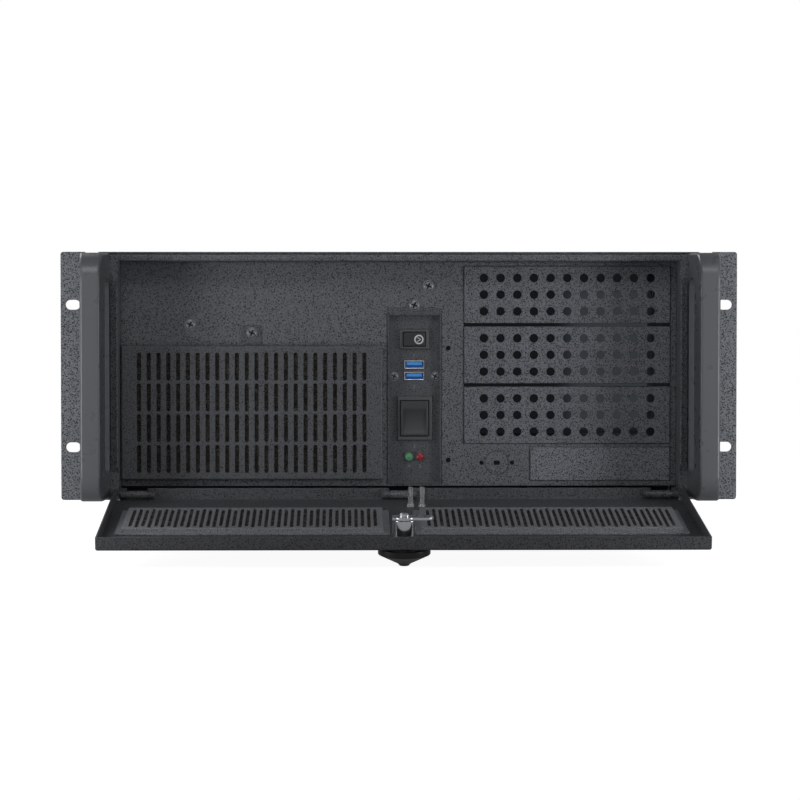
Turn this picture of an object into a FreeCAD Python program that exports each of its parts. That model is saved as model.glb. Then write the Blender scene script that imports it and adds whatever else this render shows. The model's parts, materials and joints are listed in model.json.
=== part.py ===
"""Empty 4U rackmount server case with a hinged, lockable filter door.

X runs to the right, Y into the rack and Z up, in millimetres. Inside this file a height is
measured from the underside of the case. publish() lowers every piece, so that the finished
model has its origin in the middle of the four rack slots, on the rear face of the ears.
The door and all that rides on it are drawn shut and then swung open by DOOR_OPEN.
"""
import FreeCAD, Part

import math
import os

from FreeCAD import Vector

# Rack standard: 4U panel, its ears and slots
EAR_WIDTH = 27.7
SLOT_INSET = 8.75
SLOT_SPACING_Z = 101.6
EAR_SLOT_LENGTH = 10.3
EAR_SLOT_HEIGHT = 7.0
EAR_SHEET = 2.0
EAR_LEG_DEPTH = 34.0
EAR_LEG_INSET = 16.0
EAR_NOTCH_WIDTH = 9.9
EAR_NOTCH_DROP = 6.0
EAR_CORNER = 2.0

# Folded shell
SHEET = 1.2
THIN_SHEET = 1.0
SEAM = 0.1
BEND = 1.8
CASE_DEPTH = 450.0
COVER_FLANGE = 14.0

# Recess behind the door
SIDE_STRIP = 13.4
RECESS_DEPTH = 20.0
TOP_STRIP = 6.9
RECESS_WALL_DEPTH = 30.0
PANEL_SILL = 8.6
TAB_REACH = 8.0
TAB_LOW = 20.0
TAB_TOP_DROP = 19.0
TAB_CHAMFER = 4.0
FRAME_RETURN = 12.0

# Handles
HANDLE_END_GAP = 1.0
HANDLE_DEPTH = 48.0
HANDLE_BASE_WIDTH = 21.8
HANDLE_FRONT_WIDTH = 13.9
HANDLE_CORNER = 18.5
HANDLE_EDGE = 2.0
HANDLE_BAR = 22.6
HANDLE_RIM = 6.0
FINGER_SLOT_HEIGHT = 140.0
HANDLE_OVER_EAR = 3.1
HANDLE_SCREW_OFFSET = 4.2
HANDLE_SCREW_END = 9.5

# Door, closed sizes
DOOR_OPEN = 97.3
DOOR_TOP_LAP = 1.5
DOOR_DEPTH = 9.2
DOOR_LOW = 1.0
DOOR_GAP = 0.3
DOOR_SIDE_GAP = 0.5
DOOR_RIM_GAP = 0.6
HINGE_FROM_SKIN = 5.0
HINGE_HEIGHT = 4.1
HINGE_INSET = 13.2
PIN_RADIUS = 1.5
PIN_FIT = 0.05
KNUCKLE_RADIUS = 2.8
KNUCKLE_WIDTH = 14.0
KNUCKLE_GAP = 0.4
LUG_WIDTH = 5.0
HINGE_PLATE = 1.6
HINGE_PLATE_REACH = 20.0
RIVET_RADIUS = 2.4
RIVET_HEIGHT = 0.9

# Door filters
FILTER_INNER_X = 8.5
FILTER_SIDE_MARGIN = 6.2
FILTER_LOW = 47.5
FILTER_HEIGHT = 80.0
FILTER_RISE = 4.0
FILTER_LIP = 4.5
BAR_PITCH = 4.37
BAR_GAP = 2.3
BAR_STAGGER = 4.0
BAR_MARGIN = 5.0
DOOR_VENT_PITCH = 8.74
DOOR_VENT_WIDTH = 4.4
DOOR_VENT_MARGIN = 12.0

# Door lock
LOCK_X = 0.5
LOCK_DROP = 17.1
BARREL_RADIUS = 8.0
BARREL_FLANGE_RADIUS = 10.0
BARREL_FLANGE = 1.5
BARREL_LENGTH = 16.0
CORE_RADIUS = 5.0
CORE_FIT = 0.1
LOCK_NUT_RADIUS = 11.0
LOCK_NUT_THICKNESS = 3.0
CAM_THICKNESS = 1.8
CAM_ARM = 19.5
CAM_HEEL = 8.0
CAM_WIDTH = 10.0
CAM_GAP = 0.3
CAM_SCREW_RADIUS = 3.4
CAM_SCREW_HEAD = 2.2
KNOB_RADIUS = 17.5
KNOB_EDGE = 4.0
KNOB_HEIGHT = 12.0
KNOB_TIP_RADIUS = 4.5
KNOB_TIP = 1.5
KNOB_SIDES = 48
KNOB_GAP = 0.3
CATCH_HALF_WIDTH = 10.0
CATCH_FRONT = 3.0
CATCH_DEPTH = 8.0

# Light pipes on the door, in line with the two lamps
LAMP_RISE_IN_PANEL = 19.5
LAMP_GREEN_OFFSET = -3.8
LAMP_RED_OFFSET = 4.3
PIPE_RADIUS = 1.65
PIPE_COLLAR_RADIUS = 2.5
PIPE_COLLAR = 1.5
PIPE_LENGTH = 14.0
PIPE_HEAD = 0.5
PIPE_FIT = 0.1

# Drive bays
BAY_MARGIN = 4.3
BAY_WIDTH = 149.2
BAY_STEP = 2.5
BAY_TOP_GAP = 3.0
BAY_COUNT = 3
BAY_COVER_GAP = 2.2
BAY_COVER_HEIGHT = 41.2
BAY_FIT = 0.3
BAY_COVER_PROUD = 1.2
BAY_COVER_DEPTH = 14.0
BAY_HOLE_RADIUS = 3.0
BAY_HOLE_COLUMNS = 11
BAY_HOLE_ROWS = 3
BAY_HOLE_PITCH = 12.03
BAY_HOLE_SIDES = 10
SMALL_BAY_WIDTH = 101.4
SMALL_BAY_LOW = 12.4
SMALL_BAY_HEIGHT = 24.2
CAGE_DEPTH = 165.0
SMALL_CAGE_DEPTH = 150.0
CAGE_SLOT_HEIGHT = 3.6
CAGE_SLOT_LENGTH = 12.0
CAGE_FOOT = 9.0

# Fan filter cover on the inner panel
COVER_GAP = 0.4
FAN_COVER_WIDTH = 188.0
FAN_COVER_LOW = 13.5
FAN_COVER_HEIGHT = 96.5
FAN_COVER_RISE = 8.0
FAN_COVER_BEND = 1.5
FAN_SLOT_WIDTH = 3.0
FAN_SLOT_HEIGHT = 20.1
FAN_SLOT_COLUMNS = 24
FAN_SLOT_ROWS = 4
FAN_SLOT_PITCH_X = 7.03
FAN_SLOT_GAP_Z = 2.0
COVER_TAB_WIDTH = 12.7
COVER_TAB_HEIGHT = 14.5
COVER_SCREW_RISE = 9.0

# Front fans
FAN_SIZE = 80.0
FAN_DEPTH = 25.0
FAN_BORE_RADIUS = 38.0
FAN_PITCH = 84.0
FAN_HUB_RADIUS = 18.0
FAN_BLADES = 7
FAN_BLADE_TIP = 36.8
FAN_BLADE_THICKNESS = 1.4
FAN_BLADE_PITCH = 32.0
FAN_BLADE_WIDTH = 24.0
FAN_STRUT = 4.0
FAN_BASE = 3.0
FAN_RUNNING_GAP = 0.3
FAN_SHAFT_RADIUS = 1.5
FAN_SCREW_SPACING = 71.5
FAN_SCREW_RADIUS = 2.2

# Control panel
CONTROL_SIDE_GAP = 3.4
CONTROL_POST = 16.1
CONTROL_WIDTH = 39.0
CONTROL_LOW = 10.0
CONTROL_TOP_MARGIN = 11.25
CONTROL_RECESS = 4.0
CONTROL_PROUD = 0.6
CONTROL_GAP = 0.2
CONTROL_TAB_HEIGHT = 4.2
CONTROL_TAB_INSET = 1.2
CONTROL_TAB_CHAMFER = 1.5
RESET_OFFSET = 0.1
RESET_OVER_PORTS = 8.4
RESET_WIDTH = 21.0
RESET_TALL = 14.3
ROCKER_WIDTH = 15.6
ROCKER_TALL = 9.8
ROCKER_RISE = 1.8
ROCKER_MIDDLE_RISE = 0.6
ROCKER_SINK = 0.4
ROCKER_FIT = 0.5
SWITCH_DEPTH = 2.0
BEZEL_RISE = 2.4
USB_GAP = 2.5
USB_OVER_POWER = 11.75
USB_WIDTH = 14.2
USB_TALL = 5.7
USB_WALL = 0.45
USB_DEPTH = 16.0
USB_PROUD = 1.2
USB_TONGUE_WIDTH = 11.0
USB_TONGUE = 2.2
USB_TONGUE_SINK = 0.6
USB_SCREW_INSET = 4.65
USB_SCREW_OFFSET = 0.35
USB_SCREW_DROP = 0.2
POWER_OFFSET = 0.2
POWER_OVER_LAMPS = 11.9
POWER_WIDTH = 25.2
POWER_TALL = 31.8
PADDLE_WIDTH = 19.7
PADDLE_TALL = 25.2
PADDLE_HOLLOW_DROP = 5.2
PADDLE_RISE = 1.6
PADDLE_MARGIN = 1.5
LAMP_RADIUS = 2.5
LAMP_HOLDER_RADIUS = 3.5
LAMP_RISE = 2.2

# Screws and small holes of the inner panel
SCREW_RADIUS = 1.9
SCREW_FIT = 0.2
SCREW_HEAD = 2.1
SCREW_LENGTH = 5.0
CASE_SCREW_HEAD_RADIUS = 3.4
USB_SCREW_HEAD = (3.3, 1.6)
SHANK_SIDES = 8
HEAD_SIDES = 16
PANEL_SCREW_HEAD_RADIUS = 4.1
CONTROL_SCREW_RISE = 6.1
LEFT_SCREW_INSET = 50.0
LEFT_SCREW_RISE = 15.0
TOP_SCREW_OFFSET = 10.1
TOP_SCREW_RISE = 20.0
SMALL_HOLE_RADIUS = 1.7
SMALL_HOLE_INSET = 11.2
SMALL_HOLE_HEIGHTS = (108.0, 27.2)
KNOCKOUT_FROM_BAY = 23.9
KNOCKOUT_HEIGHT = 25.2
KNOCKOUT_RADIUS = 8.8
KNOCKOUT_SCORE = 0.4
KNOCKOUT_SLOT_WIDTH = 4.4
KNOCKOUT_SLOT_HEIGHT = 3.0
KNOCKOUT_HOLE_SPREAD = 22.0

# Rear wall and inside
SUPPLY_WIDTH = 80.0
SUPPLY_HEIGHT = 142.0
SUPPLY_LOW = 12.0
SUPPLY_MARGIN = 8.0
SUPPLY_DEPTH = 150.0
PORTS_WIDTH = 158.8
PORTS_HEIGHT = 44.5
PORTS_LOW = 8.0
PORTS_FROM_SIDE = 180.0
CARD_COUNT = 7
CARD_PITCH = 20.32
CARD_FROM_PORTS = 97.6
CARD_LOW = 10.0
CARD_HEIGHT = 104.0
CARD_WIDTH = 14.0
CARD_COVER_WIDTH = 18.4
CARD_COVER_SHEET = 0.8
CARD_COVER_FOOT = 11.0
REAR_VENT_SIZE = 76.0
REAR_VENT_SLOTS = 10
REAR_VENT_SLOT = 3.6
REAR_VENT_LOW = 76.0
REAR_VENT_SPREAD = 43.0
BOARD_COLUMNS = (0.0, 157.48, 281.94)
BOARD_ROWS = (0.0, 154.94, 227.33)
BOARD_FROM_PORTS = 84.4
BOARD_SIDE_INSET = 16.51
BOARD_REAR = 14.0
STANDOFF_RADIUS = 3.0
STANDOFF_HEIGHT = 6.5
STANDOFF_SIDES = 6
CROSSBAR_Y = 210.0
CROSSBAR_WIDTH = 24.0
CROSSBAR_DEPTH = 12.0
THUMB_RADIUS = 5.5
THUMB_HEAD = 6.0
THUMB_SPREAD = 160.0

# Planes and places worked out from the sizes above
FACE_Y = -EAR_SHEET
FAN_SIDE_WIDTH = COVER_GAP + FAN_COVER_WIDTH + CONTROL_SIDE_GAP
RECESS_WIDTH = FAN_SIDE_WIDTH + CONTROL_WIDTH + CONTROL_POST + BAY_WIDTH + BAY_MARGIN
BODY_WIDTH = RECESS_WIDTH + 2 * SIDE_STRIP
PANEL_WIDTH = BODY_WIDTH + 2 * EAR_WIDTH
SLOT_SPACING_X = PANEL_WIDTH - 2 * SLOT_INSET
BODY_HALF = BODY_WIDTH / 2
RECESS_HALF = RECESS_WIDTH / 2
BAY_LOW = SMALL_BAY_LOW + SMALL_BAY_HEIGHT + BAY_STEP
BAY_PITCH = BAY_COVER_HEIGHT + BAY_COVER_GAP
BAY_OPENING = (BAY_COUNT - 1) * BAY_PITCH + BAY_COVER_HEIGHT
PANEL_HEIGHT = BAY_LOW + BAY_OPENING + BAY_TOP_GAP + TOP_STRIP
PANEL_Y = FACE_Y + RECESS_DEPTH
PANEL_BACK = PANEL_Y + SHEET
COVER_UNDERSIDE = PANEL_HEIGHT - SHEET
SHELL_TOP = COVER_UNDERSIDE - SEAM
CEILING = PANEL_HEIGHT - TOP_STRIP
DOOR_BACK = FACE_Y - DOOR_GAP
SKIN_OUT = DOOR_BACK - DOOR_DEPTH
SKIN_IN = SKIN_OUT + SHEET
DOOR_HALF = RECESS_HALF + SHEET + DOOR_SIDE_GAP + SHEET
DOOR_TOP = CEILING + DOOR_TOP_LAP
DOOR_LENGTH = DOOR_TOP - DOOR_LOW
HANDLE_HEIGHT = PANEL_HEIGHT - 2 * HANDLE_END_GAP
HANDLE_CENTRE_X = BODY_HALF + HANDLE_OVER_EAR
HANDLE_SCREW_X = HANDLE_CENTRE_X + HANDLE_SCREW_OFFSET
HINGE_SPREAD = RECESS_HALF - HINGE_INSET
FILTER_OUTER_X = RECESS_HALF - FILTER_SIDE_MARGIN
LOCK_HEIGHT = CEILING - LOCK_DROP
HINGE_Y = SKIN_OUT + HINGE_FROM_SKIN
BAY_RIGHT = RECESS_HALF - BAY_MARGIN
BAY_LEFT = BAY_RIGHT - BAY_WIDTH
SMALL_BAY_LEFT = BAY_RIGHT - SMALL_BAY_WIDTH
BAY_FRONT = PANEL_Y - BAY_COVER_PROUD
CAGE_FRONT = PANEL_BACK + SEAM
CAGE_FLOOR = BAY_LOW - THIN_SHEET - SEAM
FAN_COVER_LEFT = COVER_GAP - RECESS_HALF
FAN_COVER_X = FAN_COVER_LEFT + FAN_COVER_WIDTH / 2
FAN_COVER_MID = FAN_COVER_LOW + FAN_COVER_HEIGHT / 2
FAN_COVER_FRONT = PANEL_Y - SEAM - FAN_COVER_RISE
FAN_FRONT = PANEL_BACK + SEAM
FAN_SLOT_PITCH_Z = FAN_SLOT_HEIGHT + FAN_SLOT_GAP_Z
CONTROL_X = FAN_SIDE_WIDTH + CONTROL_WIDTH / 2 - RECESS_HALF
LAMP_HEIGHT = CONTROL_LOW + LAMP_RISE_IN_PANEL
LAMP_GREEN_X = CONTROL_X + LAMP_GREEN_OFFSET
LAMP_RED_X = CONTROL_X + LAMP_RED_OFFSET
POWER_X = CONTROL_X + POWER_OFFSET
POWER_LOW = LAMP_HEIGHT + POWER_OVER_LAMPS
USB_X = CONTROL_X
USB_LOW = POWER_LOW + POWER_TALL + USB_OVER_POWER + USB_TALL / 2
USB_HIGH = USB_LOW + USB_TALL + USB_GAP
USB_SCREW_SPREAD = CONTROL_WIDTH - 2 * USB_SCREW_INSET
USB_SCREW_HEIGHT = USB_LOW - USB_SCREW_DROP
RESET_X = CONTROL_X + RESET_OFFSET
RESET_HEIGHT = USB_HIGH + USB_TALL / 2 + RESET_OVER_PORTS + RESET_TALL / 2
CONTROL_TOP = RESET_HEIGHT + RESET_TALL / 2 + CONTROL_TOP_MARGIN
CONTROL_HEIGHT = CONTROL_TOP - CONTROL_LOW
CONTROL_SCREW = (CONTROL_X, CONTROL_TOP + CONTROL_SCREW_RISE)
LEFT_SCREW = (LEFT_SCREW_INSET - RECESS_HALF, FAN_COVER_LOW + FAN_COVER_HEIGHT + LEFT_SCREW_RISE)
TOP_SCREW = (CONTROL_X + TOP_SCREW_OFFSET, CONTROL_TOP + TOP_SCREW_RISE)
PANEL_SCREWS = (LEFT_SCREW, TOP_SCREW, CONTROL_SCREW)
SMALL_HOLES = [(BAY_LEFT - SMALL_HOLE_INSET, height) for height in SMALL_HOLE_HEIGHTS]
KNOCKOUT_X = BAY_LEFT + KNOCKOUT_FROM_BAY
CONTROL_FLOOR = PANEL_Y + CONTROL_RECESS
CONTROL_BACK = CONTROL_FLOOR + SHEET
SUPPLY_RIGHT = BODY_HALF - SUPPLY_MARGIN
PORTS_X = BODY_HALF - PORTS_FROM_SIDE
CARD_FIRST_X = PORTS_X - CARD_FROM_PORTS
BOARD_EDGE_X = PORTS_X + BOARD_FROM_PORTS


# Small shape helpers

def block(x, y, z):
    """A box from its (low, high) pair along each axis."""
    return Part.makeBox(x[1] - x[0], y[1] - y[0], z[1] - z[0], Vector(x[0], y[0], z[0]))


def rod_x(y, z, radius, x):
    """A cylinder along X from the first to the second value of x."""
    return Part.makeCylinder(radius, x[1] - x[0], Vector(x[0], y, z), Vector(1, 0, 0))


def rod_y(x, z, radius, y):
    """A cylinder along Y from the first to the second value of y."""
    return Part.makeCylinder(radius, y[1] - y[0], Vector(x, y[0], z), Vector(0, 1, 0))


def rod_z(x, y, radius, z):
    """A cylinder along Z from the first to the second value of z."""
    return Part.makeCylinder(radius, z[1] - z[0], Vector(x, y, z[0]), Vector(0, 0, 1))


def loop(points):
    """A closed wire of straight edges through the points."""
    return Part.makePolygon([*points, points[0]])


def prism(points, along):
    """A polygon pushed along a vector."""
    return Part.Face(loop(points)).extrude(along)


def faceted_rod_y(x, z, radius, y, sides):
    """A prism along Y with a regular section, its flats as far out as the radius."""
    corner = radius / math.cos(math.pi / sides)
    turns = [2 * math.pi * (index + 0.5) / sides for index in range(sides)]
    ring = [Vector(x + corner * math.cos(turn), y[0], z + corner * math.sin(turn)) for turn in turns]
    return prism(ring, Vector(0, y[1] - y[0], 0))


def slot_y(x, z, length, height, y):
    """A round-ended slot along X, cut along Y."""
    reach = (length - height) / 2
    middle = block((x - reach, x + reach), y, (z - height / 2, z + height / 2))
    ends = [rod_y(x + side * reach, z, height / 2, y) for side in (-1, 1)]
    return middle.fuse(ends).removeSplitter()


def edges_along(shape, axis, test):
    """The straight edges of a shape that run along an axis vector and pass a test of their middle."""
    chosen = []
    for edge in shape.Edges:
        if len(edge.Vertexes) != 2:
            continue
        run = edge.Vertexes[1].Point - edge.Vertexes[0].Point
        if run.Length < 1e-6 or abs(abs(run.normalize().dot(axis)) - 1) > 1e-6:
            continue
        if test(edge.CenterOfMass):
            chosen.append(edge)
    return chosen


def round_edges(shape, radius, axis, test):
    """Round the straight edges along an axis whose middle passes a test."""
    return shape.makeFillet(radius, edges_along(shape, axis, test))


def mirror_x(shape):
    """The other hand of a shape, across the middle of the case."""
    return shape.mirror(Vector(0, 0, 0), Vector(1, 0, 0))


def spread(count, pitch, middle=0.0):
    """Places of a row of like things, centred on a middle."""
    return [middle + (index - (count - 1) / 2) * pitch for index in range(count)]


def swing(shape):
    """Turn a piece of the closed door about the hinge pins to where it hangs open."""
    turned = shape.copy()
    turned.rotate(Vector(0, HINGE_Y, HINGE_HEIGHT), Vector(1, 0, 0), DOOR_OPEN)
    return turned


def publish(name, shape):
    """Lower a finished piece to the rack-slot origin and write it as one named node."""
    placed = shape.copy()
    placed.translate(Vector(0, 0, -PANEL_HEIGHT / 2))
    placed.exportStep(os.path.join("parts", name + ".step"))


def ring(centre, along, radius, sides):
    """The corners of a regular polygon square to a unit vector, its flats at the radius."""
    across = along.cross(Vector(0, 0, 1)) if abs(along.z) < 0.9 else along.cross(Vector(1, 0, 0))
    upright = along.cross(across)
    corner = radius / math.cos(math.pi / sides)
    turns = [2 * math.pi * (index + 0.5) / sides for index in range(sides)]
    return [
        centre + across * (corner * math.cos(turn)) + upright * (corner * math.sin(turn))
        for turn in turns
    ]


def turned(start, along, stations, sides):
    """A turned form in flats, from its (distance, radius) stations along a unit vector."""
    rings = [ring(start + along * distance, along, radius, sides) for distance, radius in stations]
    faces = [Part.Face(loop(rings[0])), Part.Face(loop(rings[-1]))]
    for near, far in zip(rings, rings[1:]):
        for index in range(sides):
            after = (index + 1) % sides
            faces.append(Part.Face(loop([near[index], near[after], far[after], far[index]])))
    solid = Part.Solid(Part.Shell(faces))
    if solid.Volume < 0:
        solid.reverse()
    return solid


def pan_screw(point, along, head_size, length):
    """A pan-head screw: head underside at the point, shank driven along a unit vector."""
    head_radius, head = head_size
    shank = turned(point, along, ((-head / 2, SCREW_RADIUS), (length, SCREW_RADIUS)), SHANK_SIDES)
    stations = ((0, head_radius), (head * 0.55, head_radius), (head, head_radius * 0.72))
    cap = turned(point, along * -1, stations, HEAD_SIDES)
    return cap.fuse(shank)


def case_screw(point, along, length):
    """One of the screws that hold the ears, the handles and the card covers."""
    return pan_screw(point, along, (CASE_SCREW_HEAD_RADIUS, SCREW_HEAD), length)


# The folded shell

def base_tray():
    """Floor, sides and rear wall folded from one sheet, with the rear openings."""
    x_axis, y_axis, z_axis = Vector(1, 0, 0), Vector(0, 1, 0), Vector(0, 0, 1)
    outer = block((-BODY_HALF, BODY_HALF), (0, CASE_DEPTH), (0, SHELL_TOP))
    outer = round_edges(outer, BEND, y_axis, lambda middle: middle.z < BEND)
    outer = round_edges(outer, BEND, z_axis, lambda middle: middle.y > CASE_DEPTH - BEND)
    inner = block(
        (SHEET - BODY_HALF, BODY_HALF - SHEET),
        (-BEND, CASE_DEPTH - SHEET),
        (SHEET, SHELL_TOP + BEND),
    )
    inner = round_edges(inner, BEND - SHEET, y_axis, lambda middle: middle.z < BEND)
    inner = round_edges(inner, BEND - SHEET, z_axis, lambda middle: middle.y > CASE_DEPTH - BEND - SHEET)
    inner = inner.common(block((-BODY_WIDTH, BODY_WIDTH), (-BEND, CASE_DEPTH), (SHEET, SHELL_TOP + BEND)))
    tray = outer.cut(inner)
    return tray.cut(rear_openings() + tray_screw_holes())


def rear_openings():
    """Cutters of the rear wall: power supply, ports, card slots, vents and screw holes."""
    wall = (CASE_DEPTH - 2 * SHEET, CASE_DEPTH + SHEET)
    supply = block(
        (SUPPLY_RIGHT - SUPPLY_WIDTH, SUPPLY_RIGHT),
        wall,
        (SUPPLY_LOW, SUPPLY_LOW + SUPPLY_HEIGHT),
    )
    ports = block(
        (PORTS_X - PORTS_WIDTH / 2, PORTS_X + PORTS_WIDTH / 2),
        wall,
        (PORTS_LOW, PORTS_LOW + PORTS_HEIGHT),
    )
    cards = [
        block((x - CARD_WIDTH / 2, x + CARD_WIDTH / 2), wall, (CARD_LOW, CARD_LOW + CARD_HEIGHT))
        for x in card_places()
    ]
    vents = []
    radius = REAR_VENT_SIZE / 2
    vent_middle = REAR_VENT_LOW + radius
    for side in (-1, 1):
        x = PORTS_X + side * REAR_VENT_SPREAD
        for z in spread(REAR_VENT_SLOTS, REAR_VENT_SIZE / REAR_VENT_SLOTS, vent_middle):
            chord = math.sqrt(radius**2 - (z - vent_middle) ** 2)
            low = z - REAR_VENT_SLOT / 2
            vents.append(block((x - chord, x + chord), wall, (low, low + REAR_VENT_SLOT)))
    return [supply, ports, *cards, *vents]


def card_places():
    """The middles of the card slots, from the one beside the ports outwards."""
    return [CARD_FIRST_X - index * CARD_PITCH for index in range(CARD_COUNT)]


def ear_screw_places():
    """Height of each ear screw on the side wall."""
    low = EAR_LEG_INSET + EAR_LEG_INSET / 2
    high = PANEL_HEIGHT - low
    return [low, (low + high) / 2, high]


def thumb_places():
    """Where the three cover screws enter the rear flange."""
    return spread(3, THUMB_SPREAD)


def tray_screw_holes():
    """Cutters for the ear screws and the cover screws."""
    holes = []
    for height in ear_screw_places():
        for side in (-1, 1):
            ends = sorted((side * (BODY_HALF - 2 * SHEET), side * (BODY_HALF + SHEET)))
            holes.append(rod_x(EAR_LEG_DEPTH / 2, height, SCREW_RADIUS + SCREW_FIT, ends))
    for x in thumb_places():
        wall = (CASE_DEPTH - 2 * SHEET, CASE_DEPTH + SHEET)
        holes.append(rod_y(x, PANEL_HEIGHT - COVER_FLANGE / 2, SCREW_RADIUS + SCREW_FIT, wall))
    return holes


def top_cover():
    """The lid: a flat sheet with side and rear flanges over the outside of the tray."""
    half = BODY_HALF + SEAM + SHEET
    back = CASE_DEPTH + SEAM + SHEET
    outer = block((-half, half), (SEAM, back), (PANEL_HEIGHT - COVER_FLANGE, PANEL_HEIGHT))
    outer = round_edges(outer, BEND, Vector(0, 1, 0), lambda middle: middle.z > PANEL_HEIGHT - BEND)
    inner = block(
        (SHEET - half, half - SHEET),
        (-BEND, back - SHEET),
        (PANEL_HEIGHT - 2 * COVER_FLANGE, COVER_UNDERSIDE),
    )
    front = block((-BODY_HALF, BODY_HALF), (FACE_Y, 2 * SEAM), (COVER_UNDERSIDE, PANEL_HEIGHT))
    holes = [
        rod_y(x, PANEL_HEIGHT - COVER_FLANGE / 2, SCREW_RADIUS + SCREW_FIT, (CASE_DEPTH - BEND, back + BEND))
        for x in thumb_places()
    ]
    return outer.cut(inner).fuse(front).removeSplitter().cut(holes)


def front_frame():
    """The folded front: top strip, side strips, recess ceiling, recess walls and door tabs."""
    ceiling_back = PANEL_Y - SEAM
    strip = block((-BODY_HALF, BODY_HALF), (FACE_Y, ceiling_back), (CEILING, SHELL_TOP))
    strip = round_edges(strip, BEND, Vector(1, 0, 0), lambda middle: middle.y < 0)
    hollow = block(
        (-BODY_WIDTH, BODY_WIDTH),
        (FACE_Y + SHEET, CASE_DEPTH),
        (CEILING + SHEET, SHELL_TOP - SHEET),
    )
    strip = strip.cut(hollow)
    return_half = BODY_HALF - SHEET - SEAM
    ceiling_ends = [
        block(sorted((side * edge_x, side * BODY_WIDTH)), (FACE_Y + SHEET, CASE_DEPTH), (0, high))
        for side in (-1, 1)
        for edge_x, high in ((RECESS_HALF + SHEET, CEILING + SHEET), (return_half, PANEL_HEIGHT))
    ]
    strip = strip.cut(ceiling_ends)
    catch = block(
        (LOCK_X - CATCH_HALF_WIDTH, LOCK_X + CATCH_HALF_WIDTH),
        (CATCH_FRONT, CATCH_FRONT + CATCH_DEPTH),
        (CEILING - SHEET, CEILING + 2 * SHEET),
    )
    side = frame_side()
    return strip.cut(catch).fuse([side, mirror_x(side)]).removeSplitter()


def frame_side():
    """The right-hand strip of the front with its recess wall, door tab and inner return."""
    flange = block((RECESS_HALF, BODY_HALF), (FACE_Y, FACE_Y + SHEET), (0, CEILING + 2 * SHEET))
    wall_z = (SHEET + SEAM, CEILING + SHEET)
    wall = block((RECESS_HALF, RECESS_HALF + SHEET), (FACE_Y, RECESS_WALL_DEPTH), wall_z)
    tab_high = PANEL_HEIGHT - TAB_TOP_DROP
    tab_points = [
        Vector(RECESS_HALF, FACE_Y, TAB_LOW),
        Vector(RECESS_HALF, FACE_Y - TAB_REACH, TAB_LOW + TAB_CHAMFER),
        Vector(RECESS_HALF, FACE_Y - TAB_REACH, tab_high - TAB_CHAMFER),
        Vector(RECESS_HALF, FACE_Y, tab_high),
    ]
    tab = prism(tab_points, Vector(SHEET, 0, 0))
    return_half = BODY_HALF - SHEET - SEAM
    back_return = block(
        (return_half - SHEET, return_half),
        (FACE_Y, FRAME_RETURN),
        (SHEET + BEND, CEILING),
    )
    return flange.fuse([wall, tab, back_return]).removeSplitter()


def ear(side):
    """One rack ear: an L of thicker sheet with two slots, its bend relieved top and bottom."""
    inner = BODY_HALF + SEAM
    outer = PANEL_WIDTH / 2
    section = [
        Vector(inner, FACE_Y, 0),
        Vector(outer, FACE_Y, 0),
        Vector(outer, 0, 0),
        Vector(inner + EAR_SHEET, 0, 0),
        Vector(inner + EAR_SHEET, EAR_LEG_DEPTH, 0),
        Vector(inner, EAR_LEG_DEPTH, 0),
    ]
    plate = prism(section, Vector(0, 0, PANEL_HEIGHT))
    plate = round_edges(
        plate,
        EAR_SHEET * 0.9,
        Vector(0, 0, 1),
        lambda middle: middle.x < inner + 0.1 and middle.y < 0,
    )
    leg_trims = [
        block((0, outer), (0, EAR_LEG_DEPTH + 1), (-1, EAR_LEG_INSET)),
        block((0, outer), (0, EAR_LEG_DEPTH + 1), (PANEL_HEIGHT - EAR_LEG_INSET, PANEL_HEIGHT + 1)),
    ]
    notch_end = inner + EAR_NOTCH_WIDTH
    notch = [
        Vector(0, -EAR_LEG_DEPTH, PANEL_HEIGHT + EAR_NOTCH_DROP),
        Vector(notch_end, -EAR_LEG_DEPTH, PANEL_HEIGHT + EAR_NOTCH_DROP),
        Vector(notch_end, -EAR_LEG_DEPTH, PANEL_HEIGHT - EAR_NOTCH_DROP / 3),
        Vector(notch_end - EAR_NOTCH_DROP / 3, -EAR_LEG_DEPTH, PANEL_HEIGHT - EAR_NOTCH_DROP),
        Vector(0, -EAR_LEG_DEPTH, PANEL_HEIGHT - EAR_NOTCH_DROP),
    ]
    top_notch = prism(notch, Vector(0, 2 * EAR_LEG_DEPTH, 0))
    low_notch = top_notch.mirror(Vector(0, 0, PANEL_HEIGHT / 2), Vector(0, 0, 1))
    slots = [
        slot_y(SLOT_SPACING_X / 2, z, EAR_SLOT_LENGTH, EAR_SLOT_HEIGHT, (-2 * EAR_SHEET, EAR_SHEET))
        for z in spread(2, SLOT_SPACING_Z, PANEL_HEIGHT / 2)
    ]
    leg_holes = [
        rod_x(EAR_LEG_DEPTH / 2, z, SCREW_RADIUS + SCREW_FIT, (inner - 1, inner + 2 * EAR_SHEET))
        for z in ear_screw_places()
    ]
    handle_holes = [
        rod_y(HANDLE_SCREW_X, z, SCREW_RADIUS + SCREW_FIT, (-2 * EAR_SHEET, EAR_SHEET))
        for z in handle_screw_places()
    ]
    plate = plate.cut(leg_trims + [top_notch, low_notch] + slots + leg_holes + handle_holes)
    plate = round_edges(
        plate,
        EAR_CORNER,
        Vector(0, 1, 0),
        lambda middle: middle.x > outer - 0.1 and (middle.z < 0.1 or middle.z > PANEL_HEIGHT - 0.1),
    )
    return plate if side > 0 else mirror_x(plate)


def handle_screw_places():
    """Heights of the two screws that hold a handle from behind."""
    half = HANDLE_HEIGHT / 2 - HANDLE_SCREW_END
    return [PANEL_HEIGHT / 2 - half, PANEL_HEIGHT / 2 + half]


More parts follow.
